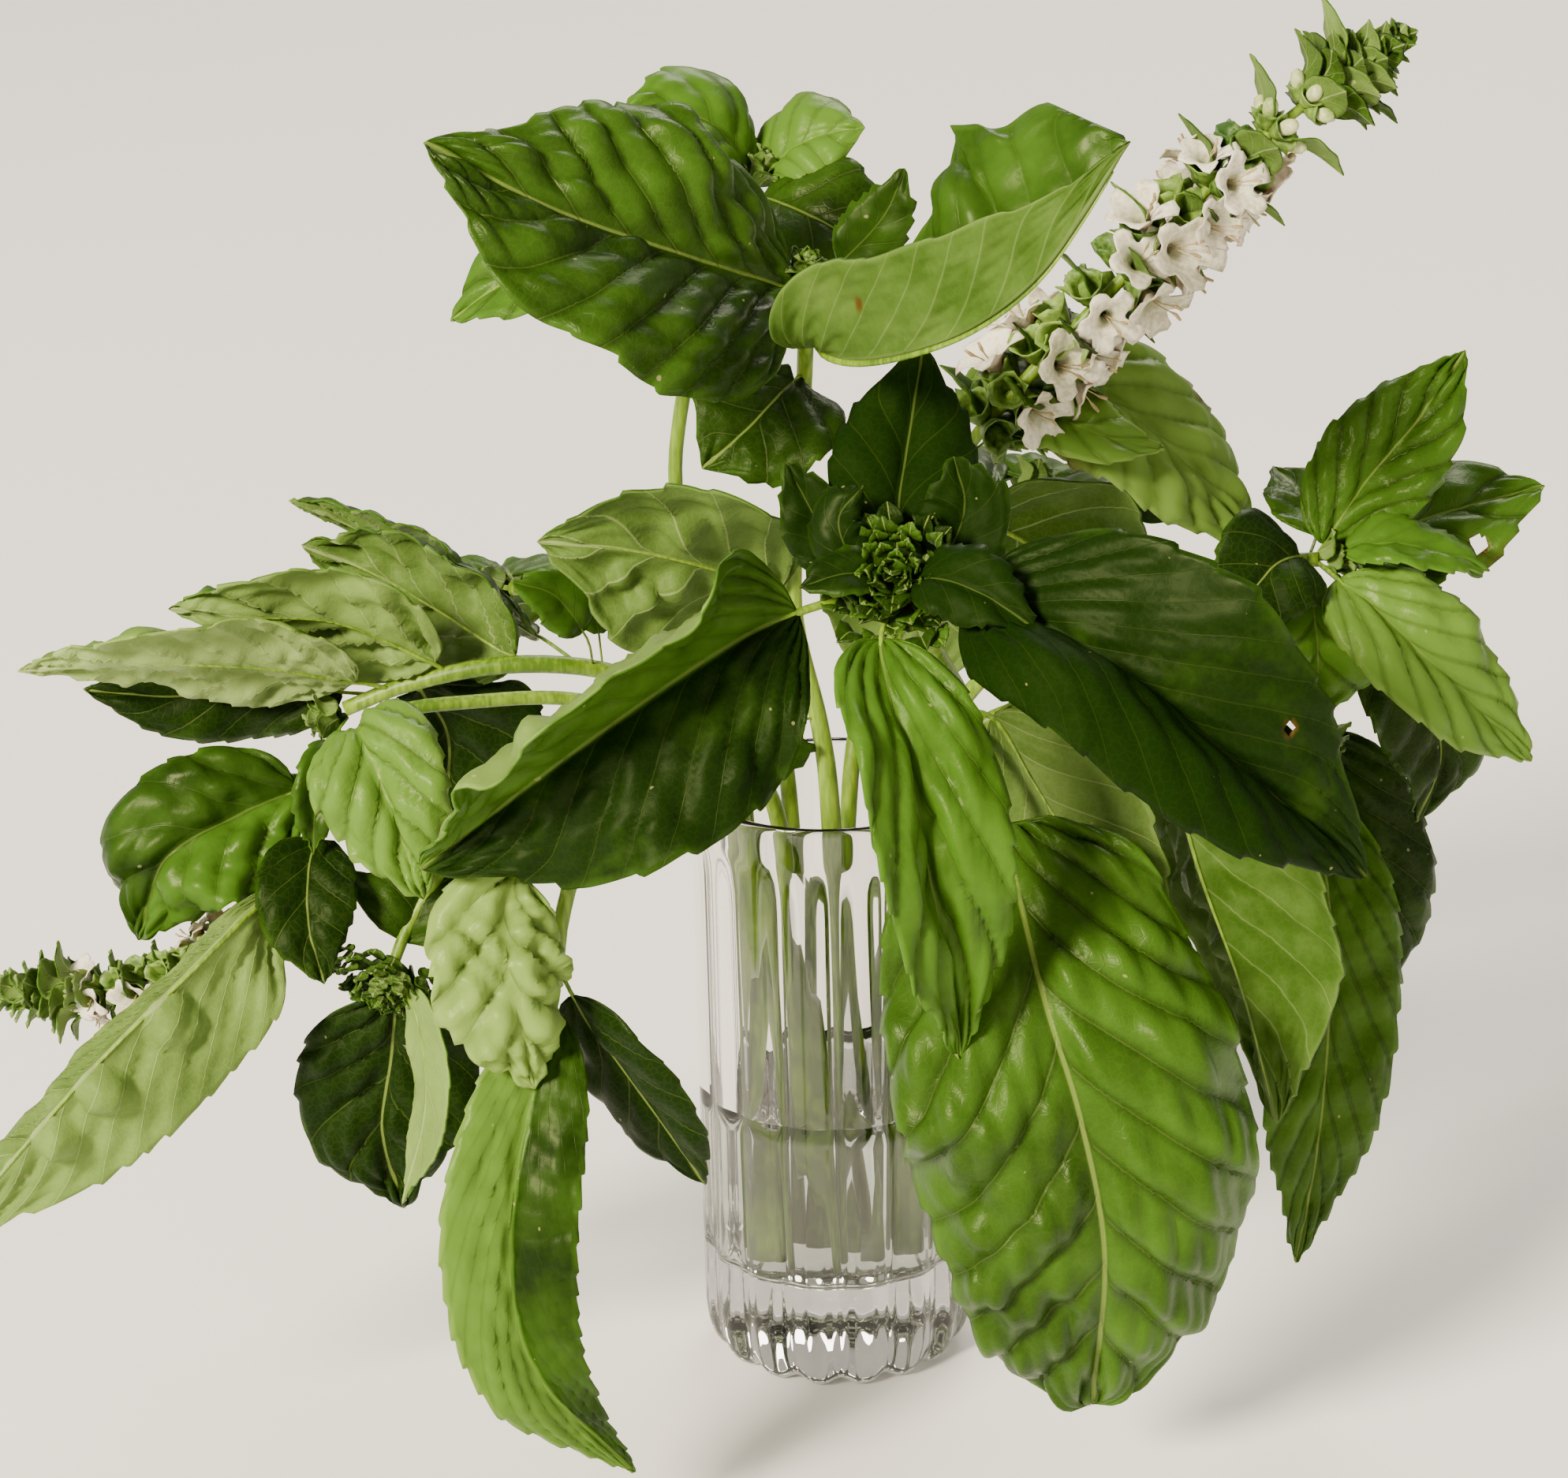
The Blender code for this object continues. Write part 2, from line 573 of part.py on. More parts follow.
def basil_stems():
    """Every stem with its branches, leaves and flower spikes, at their real places."""
    return [
        {
            "name": "front_stem",
            "route": stem_route(-35, True, [
                (27, -18, 149), (29, -30, 162), (22, -52, 182), (18, -64, 194), (13, -75, 204)]),
            "thick": 2.2, "thin": 1.7,
            "spikes": [([(14, -72, 202), (12, -79, 208), (11, -85, 212)], -1, 0.6)],
            "leaves": [
                leaf([(14, -72, 202), (3, -76, 202), (-17, -84, 197), (-48, -96, 180),
                      (-82, -92, 153)], 60, (-0.2, -0.85, 0.35), fold=(5, 45), curl=(-12, 84),
                     stalk=22),
                leaf([(14, -72, 202), (22, -78, 203), (34, -86, 202), (52, -98, 195),
                      (73, -104, 179), (104, -98, 149)], 52, (0.15, -0.8, 0.5), fold=34, curl=-26,
                     stalk=16),
                leaf([(14, -71, 202), (14, -62, 215), (17, -50, 229), (20, -44, 245)],
                     30, (0, -1, 0.3), fold=12, curl=-25, stalk=6),
                leaf([(15, -70, 201), (10, -84, 198), (10, -92, 192), (14, -101, 176),
                      (19, -104, 148), (24, -98, 112)], 34, (0, -1, 0.2), fold=32, curl=-18,
                     wave=0.1, stalk=18),
                leaf([(29, -31, 162), (33, -52, 159), (36, -72, 143), (41, -90, 122),
                      (48, -98, 98), (53, -97, 67), (52, -80, 24)], 76, (0, -1, 0.25), fold=-4,
                     curl=-22, stalk=38, broadest=0.45, fullness=1.7),
                leaf([(28, -34, 164), (35, -40, 163), (42, -50, 153), (53, -60, 136),
                      (66, -67, 111)], 36, (0.1, 0.95, 0.2), fold=8, curl=-16),
                leaf([(14, -70, 202), (4, -62, 204), (-3, -60, 215), (-8, -58, 225)],
                     14, (0, -1, 0.2), stalk=12),
                leaf([(14, -71, 203), (5, -74, 209), (2, -72, 217), (7, -70, 223)],
                     13, (0, -1, 0.2), fold=-10, curl=-40, stalk=7),
                leaf([(14, -71, 203), (23, -68, 208), (27, -66, 217), (25, -64, 227)],
                     18, (0, -1, 0.3), stalk=8),
                leaf([(13, -74, 204), (21, -84, 208), (30, -90, 206), (39, -95, 201)],
                     15, (0, -0.8, 0.6), fold=20, stalk=7),
                leaf([(13, -74, 204), (4, -79, 208), (-6, -81, 206)],
                     10, (0, -0.7, 0.7), stalk=5),
            ],
        },
        {
            "name": "middle_stem",
            "route": stem_route(-90, False, [
                (-2, -22, 157), (-7, -23, 182), (-6, -26, 206), (-4, -29, 232), (-3, -36, 255)]),
            "thick": 2.5, "thin": 1.7,
            "leaves": [
                leaf([(-3, -35, 253), (-10, -43, 258), (-28, -60, 268), (-52, -72, 280),
                      (-75, -76, 294)], 62, (0.05, -0.8, 0.6), fold=8, curl=-14, stalk=7),
                leaf([(-4, -29, 236), (-9, -39, 234), (-16, -44, 228), (-25, -47, 221)],
                     32, (0, -0.8, 0.5), fold=10, curl=-18, wave=0.1, stalk=4),
                leaf([(-3, -35, 253), (-3, -48, 250), (2, -64, 248), (12, -82, 252),
                      (26, -97, 260), (38, -106, 271), (47, -109, 284), (55, -107, 297)],
                     (80, 42), (0, -0.1, 1), fold=(82, 70), curl=(-14, 6), stalk=22,
                     broadest=(0.62, 0.34)),
                leaf([(-7, -23, 184), (-15, -31, 192), (-28, -39, 199), (-43, -44, 204),
                      (-59, -45, 206)], 46, (0, 0.97, 0.2), fold=-6, curl=-24, stalk=7),
                leaf([(-2, -22, 159), (-9, -27, 158), (-11, -29, 147)],
                     13, (0, -1, 0.2), stalk=5),
                leaf([(-3, -35, 254), (6, -35, 262), (13, -36, 270), (17, -36, 279)],
                     12, (0, -1, 0.2), stalk=9),
            ],
        },
        {
            "name": "flower_stem",
            "route": stem_route(45, True, [
                (20, 13, 160), (24, 4, 188), (28, -10, 208), (34, -20, 222), (58, -21, 248),
                (85, -15, 274), (104, -10, 288), (117, -6, 296)]),
            "thick": 2.2, "thin": 1.0,
            "spikes": [([(33, -19, 221), (58, -21, 248), (85, -15, 274), (104, -10, 288),
                         (119, -5, 297)], 0.72, 1.0)],
            "leaves": [
                leaf([(31, -16, 216), (39, -6, 224), (57, -7, 225), (77, -10, 210), (94, -6, 187)],
                     34, (0.1, -0.7, 0.7), fold=8, curl=-24, stalk=8),
                leaf([(30, -14, 213), (38, -17, 220), (48, -21, 223), (59, -26, 220),
                      (71, -25, 217)], 16, (0, -0.6, 0.75), stalk=9),
                leaf([(25, 1, 192), (33, 3, 194), (45, 6, 188), (66, 8, 170)],
                     58, (0.2, 0.85, 0.4), fold=6, curl=-18, stalk=9),
            ],
        },
        {
            "name": "tall_back_stem",
            "route": stem_route(115, False, [
                (-19, 16, 160), (-29, 9, 186), (-32, 8, 204), (-29, 8, 226), (-23, 8, 251),
                (-14, 10, 267)]),
            "thick": 2.2, "thin": 1.5,
            "leaves": [
                leaf([(-14, 10, 266), (-18, 6, 277), (-26, 3, 284), (-40, -2, 286)],
                     34, (0, -0.5, 0.85), fold=6, curl=-34, stalk=4),
                leaf([(-14, 10, 266), (-8, 9, 273), (0, 7, 278), (10, 5, 280)],
                     28, (0, -0.6, 0.8), fold=4, curl=-30, stalk=5),
                leaf([(-14, 9, 266), (-5, -4, 265), (4, -9, 261), (14, -11, 253)],
                     30, (0, -0.8, 0.6), fold=8, curl=-16, stalk=4),
                leaf([(-23, 8, 250), (-38, -8, 258), (-51, -18, 261), (-64, -20, 255),
                      (-77, -18, 246)], 26, (0, -0.6, 0.8), stalk=22),
            ],
        },
        {
            "name": "left_stem",
            "route": stem_route(180, True, [
                (-33, -8, 158), (-48, -18, 169), (-69, -22, 172), (-90, -22, 168),
                (-103, -22, 163)]),
            "thick": 2.5, "thin": 1.7,
            "leaves": [
                leaf([(-80, -22, 170), (-86, -24, 175), (-103, -27, 184), (-121, -31, 187),
                      (-138, -27, 188)], 30, (0, 0.95, 0.3), fold=(-4, 20), curl=-20, stalk=5),
                leaf([(-60, -21, 171), (-69, -18, 174), (-82, -12, 181), (-97, -8, 189),
                      (-112, -6, 195)], 32, (0.2, 0.95, 0.3), fold=8, curl=-22, stalk=7),
                leaf([(-52, -19, 170), (-66, -8, 177), (-83, 2, 185), (-100, 7, 194),
                      (-116, 9, 201)], 24, (0, 0.7, 0.7), stalk=14),
                leaf([(-92, -22, 167), (-104, -28, 172), (-120, -34, 177), (-142, -40, 180),
                      (-169, -36, 178)], 28, (0, 0.7, 0.6), fold=10, curl=-18, stalk=10),
                leaf([(-94, -22, 166), (-104, -20, 166), (-120, -19, 167), (-140, -20, 166),
                      (-159, -20, 168)], 22, (0, -0.95, 0.1), fold=8, curl=-14, stalk=10),
                leaf([(-88, -22, 168), (-87, -12, 162), (-83, -5, 150), (-85, -2, 129)],
                     42, (-0.1, -0.9, 0.2), fold=10, curl=-14, stalk=7),
                leaf([(-50, -19, 170), (-51, -25, 179), (-57, -28, 189), (-66, -30, 193)],
                     11, (0, -0.7, 0.7), stalk=12),
                leaf([(-48, -18, 169), (-49, -16, 179), (-51, -15, 188), (-53, -14, 196)],
                     8, (0, -1, 0.1), stalk=8),
            ],
        },
        {
            "name": "low_left_stem",
            "route": stem_route(-150, True, [
                (-32, -27, 158), (-53, -40, 170), (-75, -46, 172), (-90, -49, 171),
                (-99, -51, 165), (-104, -53, 154), (-109, -57, 138), (-119, -60, 126),
                (-141, -60, 117), (-160, -60, 115), (-178, -60, 116)]),
            "thick": 2.2, "thin": 1.0,
            "spikes": [([(-119, -60, 126), (-141, -60, 117), (-160, -60, 115), (-182, -60, 116)],
                        0.45, 0.85)],
            "leaves": [
                leaf([(-103, -53, 157), (-111, -54, 156), (-124, -59, 152), (-137, -63, 145),
                      (-145, -57, 125)], 34, (0, -0.9, 0.4), fold=8, curl=-20, wave=0.1, stalk=7),
                leaf([(-97, -51, 167), (-96, -62, 172), (-91, -72, 165), (-83, -78, 141)],
                     28, (0, -1, 0.2), fold=10, stalk=8),
                leaf([(-99, -51, 165), (-102, -61, 166), (-105, -66, 157), (-106, -67, 147)],
                     10, (0, -1, 0.2), fold=20, stalk=5),
                leaf([(-104, -54, 151), (-107, -65, 145), (-107, -74, 135), (-104, -78, 123)],
                     20, (0, -1, 0.2), stalk=7),
                leaf([(-109, -57, 138), (-117, -70, 138), (-128, -80, 130), (-153, -90, 108),
                      (-185, -86, 70)], 44, (0.2, 0.9, 0.3), fold=(98, 6), curl=-18, stalk=10),
                leaf([(-101, -52, 160), (-112, -46, 156), (-124, -43, 158), (-136, -43, 160)],
                     14, (0, 0.4, 0.9), stalk=10),
            ],
        },
        {
            "name": "hanging_stem",
            "route": stem_route(-120, True, [
                (-21, -38, 153), (-36, -60, 161), (-49, -75, 153), (-55, -80, 138),
                (-57, -81, 123)]),
            "thick": 2.2, "thin": 1.5,
            "branches": [[(-36, -60, 161), (-56, -59, 156), (-74, -60, 147), (-86, -64, 133),
                          (-92, -71, 121)]],
            "spikes": [([(-90, -68, 124), (-93, -74, 118), (-95, -79, 114)], -1, 0.5)],
            "leaves": [
                leaf([(-48, -74, 154), (-60, -83, 152), (-66, -89, 143), (-64, -98, 127),
                      (-61, -96, 107)], 31, (0.1, -1, 0.2), fold=6, curl=-22, wave=0.12, stalk=20),
                leaf([(-57, -81, 124), (-61, -93, 108), (-67, -104, 78), (-63, -104, 48),
                      (-44, -92, 17)], 28, (0, -1, 0.1), fold=24, curl=-14, stalk=6),
                leaf([(-56, -80, 126), (-52, -82, 117), (-45, -84, 107), (-36, -83, 92),
                      (-28, -78, 76)], 25, (-0.5, -0.8, -0.3), fold=10, stalk=6),
                leaf([(-91, -70, 122), (-91, -68, 115), (-93, -65, 100), (-96, -62, 82),
                      (-93, -57, 62)], 37, (0, -1, 0.2), fold=8, curl=-18, stalk=6),
                leaf([(-91, -69, 123), (-85, -80, 116), (-84, -84, 98), (-90, -83, 76)],
                     12, (0.7, 0.7, 0), stalk=8),
                leaf([(-90, -68, 124), (-86, -65, 133), (-84, -61, 141), (-87, -57, 149)],
                     28, (0, -1, 0.3), fold=10, stalk=4),
            ],
        },
        {
            "name": "right_stem",
            "route": stem_route(12, True, [
                (33, 3, 157), (48, -4, 170), (65, -10, 181), (86, -16, 189), (104, -21, 191)]),
            "thick": 2.3, "thin": 1.6,
            "leaves": [
                leaf([(103, -21, 191), (107, -18, 196), (115, -13, 206), (126, -9, 218),
                      (136, -6, 232)], 26, (-0.2, -0.9, 0.35), fold=10, wave=0.1, stalk=4),
                leaf([(102, -20, 191), (105, -9, 195), (102, 3, 200), (98, 11, 203)],
                     17, (0, -0.6, 0.8), stalk=9),
                leaf([(103, -21, 191), (113, -9, 189), (130, 1, 193), (157, 8, 198)],
                     34, (0, -0.6, 0.8), fold=8, curl=-18, wave=0.1, stalk=12),
                leaf([(103, -21, 191), (112, -25, 195), (122, -28, 196), (139, -28, 190)],
                     14, (0, -0.4, 0.9), stalk=7),
                leaf([(103, -21, 191), (113, -34, 185), (128, -40, 171), (148, -36, 150)],
                     28, (0.3, -0.8, 0.5), fold=14, stalk=8),
                leaf([(103, -21, 191), (117, -22, 178), (127, -20, 162), (132, -17, 145),
                      (128, -13, 128)], 28, (0.2, -0.95, 0.2), fold=8, stalk=16),
                leaf([(102, -20, 191), (98, -28, 194), (92, -34, 193), (83, -39, 183)],
                     24, (-0.1, -0.8, 0.6), stalk=6),
                leaf([(101, -20, 190), (102, -29, 182), (103, -30, 171), (103, -27, 157)],
                     26, (0, -1, 0.2), stalk=8),
                leaf([(64, -10, 181), (66, -30, 179), (68, -48, 166), (75, -60, 138),
                      (84, -66, 112), (92, -64, 81)], 54, (0.3, 0.9, 0.2), fold=(58, 4),
                     curl=-18, stalk=34),
            ],
        },
        {
            "name": "low_right_stem",
            "route": stem_route(-12, False, [
                (34, -9, 152), (56, -10, 159), (80, -8, 161), (98, -6, 157), (106, -6, 148)]),
            "thick": 2.2, "thin": 1.6,
            "leaves": [
                leaf([(104, -6, 151), (108, -5, 143), (113, -6, 130), (120, -8, 106),
                      (120, -5, 79)], 32, (0.2, -0.95, 0.1), fold=8, curl=-20, stalk=6),
                leaf([(105, -6, 149), (106, -12, 132), (109, -20, 104), (107, -25, 62),
                      (103, -20, 25)], 31, (0.1, -0.95, 0.1), fold=8, curl=-20, stalk=14),
                leaf([(98, -6, 157), (93, -16, 150), (90, -28, 132), (94, -36, 108)],
                     38, (0.1, -0.95, 0.2), fold=8, curl=-16, stalk=8),
            ],
        },
        {
            "name": "back_right_stem",
            "route": stem_route(75, False, [
                (14, 34, 154), (27, 48, 170), (40, 58, 180), (47, 62, 184)]),
            "thick": 2.2, "thin": 1.6,
            "leaves": [
                leaf([(47, 62, 184), (56, 58, 188), (72, 52, 188), (94, 48, 178)],
                     42, (0.3, -0.1, 0.95), fold=10, curl=-22),
                leaf([(46, 61, 183), (54, 74, 186), (62, 90, 180), (66, 102, 160)],
                     44, (0.2, 0.5, 0.85), fold=10, curl=-22),
                leaf([(45, 61, 182), (34, 74, 186), (22, 84, 182), (8, 92, 168)],
                     42, (-0.3, 0.3, 0.9), fold=10, curl=-20),
                leaf([(28, 49, 171), (48, 48, 168), (74, 46, 150), (88, 44, 126)],
                     46, (0.5, 0, 0.85), fold=10, curl=-22, stalk=12),
                leaf([(27, 48, 170), (26, 66, 168), (24, 82, 152), (22, 88, 122)],
                     50, (0, 0.6, 0.8), fold=10, curl=-20, stalk=10),
            ],
        },
        {
            "name": "back_left_stem",
            "route": stem_route(150, True, [
                (-32, 23, 153), (-48, 38, 163), (-62, 48, 167), (-72, 53, 166)]),
            "thick": 2.2, "thin": 1.6,
            "leaves": [
                leaf([(-71, 52, 166), (-84, 54, 168), (-100, 54, 164), (-116, 50, 148)],
                     40, (-0.4, 0, 0.9), fold=10, curl=-22),
                leaf([(-71, 52, 166), (-74, 66, 167), (-78, 82, 160), (-80, 92, 138)],
                     46, (-0.1, 0.5, 0.85), fold=10, curl=-22),
                leaf([(-49, 38, 163), (-42, 54, 166), (-35, 70, 158), (-32, 80, 136)],
                     46, (0, 0.6, 0.8), fold=10, curl=-20, stalk=9),
                leaf([(-68, 50, 166), (-62, 40, 171), (-54, 32, 173), (-45, 26, 170)],
                     26, (0, -0.3, 0.95), fold=10, curl=-20),
            ],
        },
    ]


def stem_shapes(stem):
    """The shapes of one leafy stem, its main stem first."""
    path = stem_path(stem["route"])
    shapes = [tube_shape(path, taper(path, stem["thick"], stem["thin"]), STEM_SIDES)]
    for route in stem.get("branches", []):
        branch = stem_path(route)
        shapes.append(tube_shape(branch, taper(branch, stem["thin"], 0.8 * stem["thin"]), STEM_SIDES))
    for axis, open_to, size in stem.get("spikes", []):
        shapes.extend(spike_shapes(axis, open_to, size))
    shapes.extend(leaf_shape(**one) for one in stem["leaves"])
    return shapes


def build():
    """Clear the scene and model the bunch in its glass."""
    for item in list(bpy.data.objects):
        bpy.data.objects.remove(item)
    clear_glass = make_material("clear_glass", (0.86, 0.88, 0.86), 0.04, 0.3)
    still_water = make_material("water", (0.80, 0.86, 0.82), 0.03, 0.35)
    basil_green = make_material("basil_green", (0.075, 0.21, 0.02), 0.45)
    stems = basil_stems()
    glass_tumbler(clear_glass)
    water(still_water, stems)
    for stem in stems:
        fuse(stem["name"], stem_shapes(stem), basil_green)


build()
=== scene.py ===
# %% [markdown]
# # A bunch of sweet basil in a glass of water
#
# Leafy tops and two flower spikes stand in a fluted glass and droop over its rim. The packed
# CAD model is the frame: it gives every stem, leaf and wall its place. Here each stem gets its
# looks: thin puckered blades with toothed margins, white two-lipped flowers, clear glass and
# water. Lengths are in millimetres until a mesh is made, and -Y is the front.

# %% The frame
import math
from functools import partial

import bpy
import numpy as np
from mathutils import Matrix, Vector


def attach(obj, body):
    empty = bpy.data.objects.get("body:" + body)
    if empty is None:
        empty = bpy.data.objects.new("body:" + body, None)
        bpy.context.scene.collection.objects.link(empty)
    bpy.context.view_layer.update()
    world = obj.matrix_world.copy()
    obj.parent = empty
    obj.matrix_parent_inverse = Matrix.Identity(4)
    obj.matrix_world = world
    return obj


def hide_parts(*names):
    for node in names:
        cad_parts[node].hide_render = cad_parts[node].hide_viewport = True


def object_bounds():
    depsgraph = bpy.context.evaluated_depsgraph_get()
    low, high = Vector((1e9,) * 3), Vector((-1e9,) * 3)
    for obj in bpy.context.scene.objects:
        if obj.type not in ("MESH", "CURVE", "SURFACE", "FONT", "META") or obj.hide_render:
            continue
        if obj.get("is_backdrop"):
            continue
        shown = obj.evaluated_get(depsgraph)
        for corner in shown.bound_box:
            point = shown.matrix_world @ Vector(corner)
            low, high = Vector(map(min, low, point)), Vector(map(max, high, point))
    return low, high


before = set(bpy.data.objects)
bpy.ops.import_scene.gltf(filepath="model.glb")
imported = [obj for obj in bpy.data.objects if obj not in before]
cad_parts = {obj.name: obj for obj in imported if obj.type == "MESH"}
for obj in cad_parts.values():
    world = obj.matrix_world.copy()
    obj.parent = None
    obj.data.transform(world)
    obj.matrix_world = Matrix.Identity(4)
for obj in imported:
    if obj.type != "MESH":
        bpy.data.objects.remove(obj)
cad_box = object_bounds()
print("nodes:", ", ".join(sorted(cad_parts)))

# %% [markdown]
# ## The camera
#
# The picture was taken from about 0.8 m away, a little above the leaves and looking down, with
# a short telephoto view. The camera comes first, because every later choice is judged through
# it. A small roll puts the glass upright as it stands in the picture.

# %% The camera
CAMERA_PLACE = (-0.0097, -0.800, 0.427)
CAMERA_DOWN = 19.34
CAMERA_ROLL = -1.3
LENS = 88.5

bpy.ops.object.select_all(action="DESELECT")
bpy.ops.object.camera_add(location=CAMERA_PLACE)
camera = bpy.context.object
camera.name = "photo_camera"
camera.data.lens = LENS
camera.data.sensor_width = 36.0
camera.data.clip_start = 0.01
camera.rotation_mode = "XYZ"
camera.rotation_euler = (math.radians(90 - CAMERA_DOWN), 0, 0)
camera.rotation_euler.rotate_axis("Z", math.radians(CAMERA_ROLL))
bpy.context.scene.camera = camera
print("camera at", tuple(round(c, 3) for c in camera.location))

# %% [markdown]
# ## Small tools
#
# Every leaf and stem follows a smooth curve through a few points, so three helpers come first:
# one spaces points evenly along such a curve, one carries a direction along it without
# twisting, and one adds a grid primitive and bends its points to a given shape. A grid is the
# natural start for anything that grows as a sheet: its rows and columns stay neat, and it
# brings a UV map.

# %% Curves through a few points
MM = 0.001


def unit(vector):
    """The vector or vectors at length one."""
    vector = np.asarray(vector, float)
    return vector / np.linalg.norm(vector, axis=-1, keepdims=True)


def smooth_path(points, count):
    """count + 1 points, evenly spaced by length, on a smooth curve through the points."""
    points = [np.asarray(p, float) for p in points]
    knots = [2 * points[0] - points[1], *points, 2 * points[-1] - points[-2]]
    t = np.arange(24)[:, None] / 24
    dense = [0.5 * (2 * b + (c - a) * t + (2 * a - 5 * b + 4 * c - d) * t * t
                    + (3 * b - a - 3 * c + d) * t ** 3)
             for a, b, c, d in zip(knots, knots[1:], knots[2:], knots[3:])]
    dense = np.vstack([*dense, points[-1:]])
    lengths = np.concatenate([[0], np.cumsum(np.linalg.norm(np.diff(dense, axis=0), axis=1))])
    marks = np.linspace(0, lengths[-1], count + 1)
    return np.stack([np.interp(marks, lengths, dense[:, k]) for k in range(3)], axis=1)


def path_length(path):
    """The length of a path of points."""
    return float(np.linalg.norm(np.diff(path, axis=0), axis=1).sum())


def frames_along(path, up, settle=0.35):
    """Tangents and normals along a path; the normals start from up and never spin."""
    tangents = unit(np.gradient(path, axis=0))
    normals = np.zeros_like(path)
    start = int(settle * (len(path) - 1))
    up = np.asarray(up, float)
    normals[start] = unit(up - tangents[start] * (up @ tangents[start]))
    order = [(i, i - 1) for i in range(start + 1, len(path))]
    order += [(i, i + 1) for i in range(start - 1, -1, -1)]
    for i, near in order:
        carried = normals[near]
        normals[i] = unit(carried - tangents[i] * (carried @ tangents[i]))
    return tangents, normals


def ease(low, high, value):
    """0 below low, 1 above high and a smooth step between."""
    t = np.clip((value - low) / (high - low), 0, 1)
    return t * t * (3 - 2 * t)


# %% Sheets, tubes and joined pieces
def sheet(name, points, materials, marks=None, wrap=False, thickness=0.0, tone=0.5, wither=0.0,
          clear=1.0, cut=None):
    """A grid primitive bent to an array of points, rows by columns, in millimetres.

    marks holds two numbers a point, kept as the UV map "veins". wrap joins the first and last
    column. thickness gives the sheet its second side, which takes the second material. tone and
    wither are a shade and a browning for the whole sheet or for each point, clear is how clearly
    its veins show, and the points marked in cut are left out.
    """
    rows, columns = points.shape[0] - 1, points.shape[1] - 1
    bpy.ops.object.select_all(action="DESELECT")
    bpy.ops.mesh.primitive_grid_add(x_subdivisions=columns, y_subdivisions=rows, size=1)
    piece = bpy.context.object
    piece.name = name
    mesh = piece.data
    mesh.vertices.foreach_set("co", (points.reshape(-1, 3) * MM).astype(np.float32).ravel())
    layer = mesh.uv_layers.active
    layer.name = "veins"
    if marks is not None:
        corners = np.zeros(len(mesh.loops), int)
        mesh.loops.foreach_get("vertex_index", corners)
        layer.data.foreach_set("uv", marks.reshape(-1, 2)[corners].astype(np.float32).ravel())
    for layer_name, values in (("tone", tone), ("wither", wither), ("clear", clear)):
        values = np.broadcast_to(np.asarray(values, np.float32), points.shape[:2])
        layer = mesh.attributes.new(layer_name, "FLOAT", "POINT")
        layer.data.foreach_set("value", np.ascontiguousarray(values).ravel())
    for material in materials:
        mesh.materials.append(material)
    mesh.update()
    bpy.ops.object.mode_set(mode="EDIT")
    if cut is not None and cut.any():
        bpy.ops.mesh.select_all(action="DESELECT")
        bpy.ops.object.mode_set(mode="OBJECT")
        mesh.vertices.foreach_set("select", cut.ravel())
        bpy.ops.object.mode_set(mode="EDIT")
        bpy.ops.mesh.delete(type="VERT")
    bpy.ops.mesh.select_all(action="SELECT")
    bpy.ops.mesh.remove_doubles(threshold=0.00002)
    if wrap:
        bpy.ops.mesh.normals_make_consistent(inside=False)
    bpy.ops.object.mode_set(mode="OBJECT")
    if thickness:
        skin = piece.modifiers.new("skin", "SOLIDIFY")
        skin.thickness = thickness * MM
        skin.offset = 0
        skin.material_offset = len(materials) - 1
        skin.material_offset_rim = 0
        bpy.ops.object.modifier_apply(modifier="skin")
    piece.data.shade_smooth()
    return piece


def tube(name, path, radii, sides, material, up=(0.31, 0.9, 0.1), tone=0.5):
    """A closed round tube along a path, made from a wrapped grid with a point at each end."""
    path = np.asarray(path, float)
    tangents, normals = frames_along(path, up, settle=0)
    asides = np.cross(tangents, normals)
    turn = np.linspace(0, 2 * math.pi, sides + 1)
    ring = (np.cos(turn)[None, :, None] * normals[:, None] + np.sin(turn)[None, :, None]
            * asides[:, None])
    points = path[:, None] + ring * np.asarray(radii, float)[:, None, None]
    caps = [np.repeat(path[i][None, None], sides + 1, axis=1) for i in (0, -1)]
    points = np.concatenate([caps[0], points, caps[1]])
    return sheet(name, points, [material], wrap=True, tone=tone)


def join(name, parts):
    """All the parts as one piece, with the first one's name changed to name."""
    bpy.ops.object.select_all(action="DESELECT")
    for part in parts:
        part.select_set(True)
    bpy.context.view_layer.objects.active = parts[0]
    bpy.ops.object.join()
    parts[0].name = name
    parts[0].data.name = name
    return parts[0]

# %% [markdown]
# ## Colours and nodes
#
# Colours are chosen as sRGB hex values, which is how a screen names them, while the shader
# wants linear light, so one function turns the first into the second. Another adds a node:
# each input gets either a number or the output of an earlier node. A pattern's scale comes from
# the real size of one repeat.

# %% Colours and nodes
def srgb(code):
    """A hex colour as linear red, green, blue and alpha."""
    parts = [int(code[i:i + 2], 16) / 255 for i in (1, 3, 5)]
    return (*(c / 12.92 if c <= 0.04045 else ((c + 0.055) / 1.055) ** 2.4 for c in parts), 1.0)


def new_material(name):
    """A new material with its Principled shader and nothing linked to it."""
    material = bpy.data.materials.new(name)
    material.use_nodes = True
    return material


def node(material, kind, inputs, out=0, **settings):
    """Add a node with its settings and input values or links, and return one output."""
    made = material.node_tree.nodes.new("ShaderNode" + kind)
    for key, value in settings.items():
        setattr(made, key, value)
    for key, value in inputs.items():
        if isinstance(value, bpy.types.NodeSocket):
            material.node_tree.links.new(value, made.inputs[key])
        else:
            made.inputs[key].default_value = value
    return made.outputs[out]


def finish_shader(material, values):
    """Set the Principled shader's own sockets, or link outputs to them."""
    shader = material.node_tree.nodes["Principled BSDF"]
    for key, value in values.items():
        if isinstance(value, bpy.types.NodeSocket):
            material.node_tree.links.new(value, shader.inputs[key])
        else:
            shader.inputs[key].default_value = value


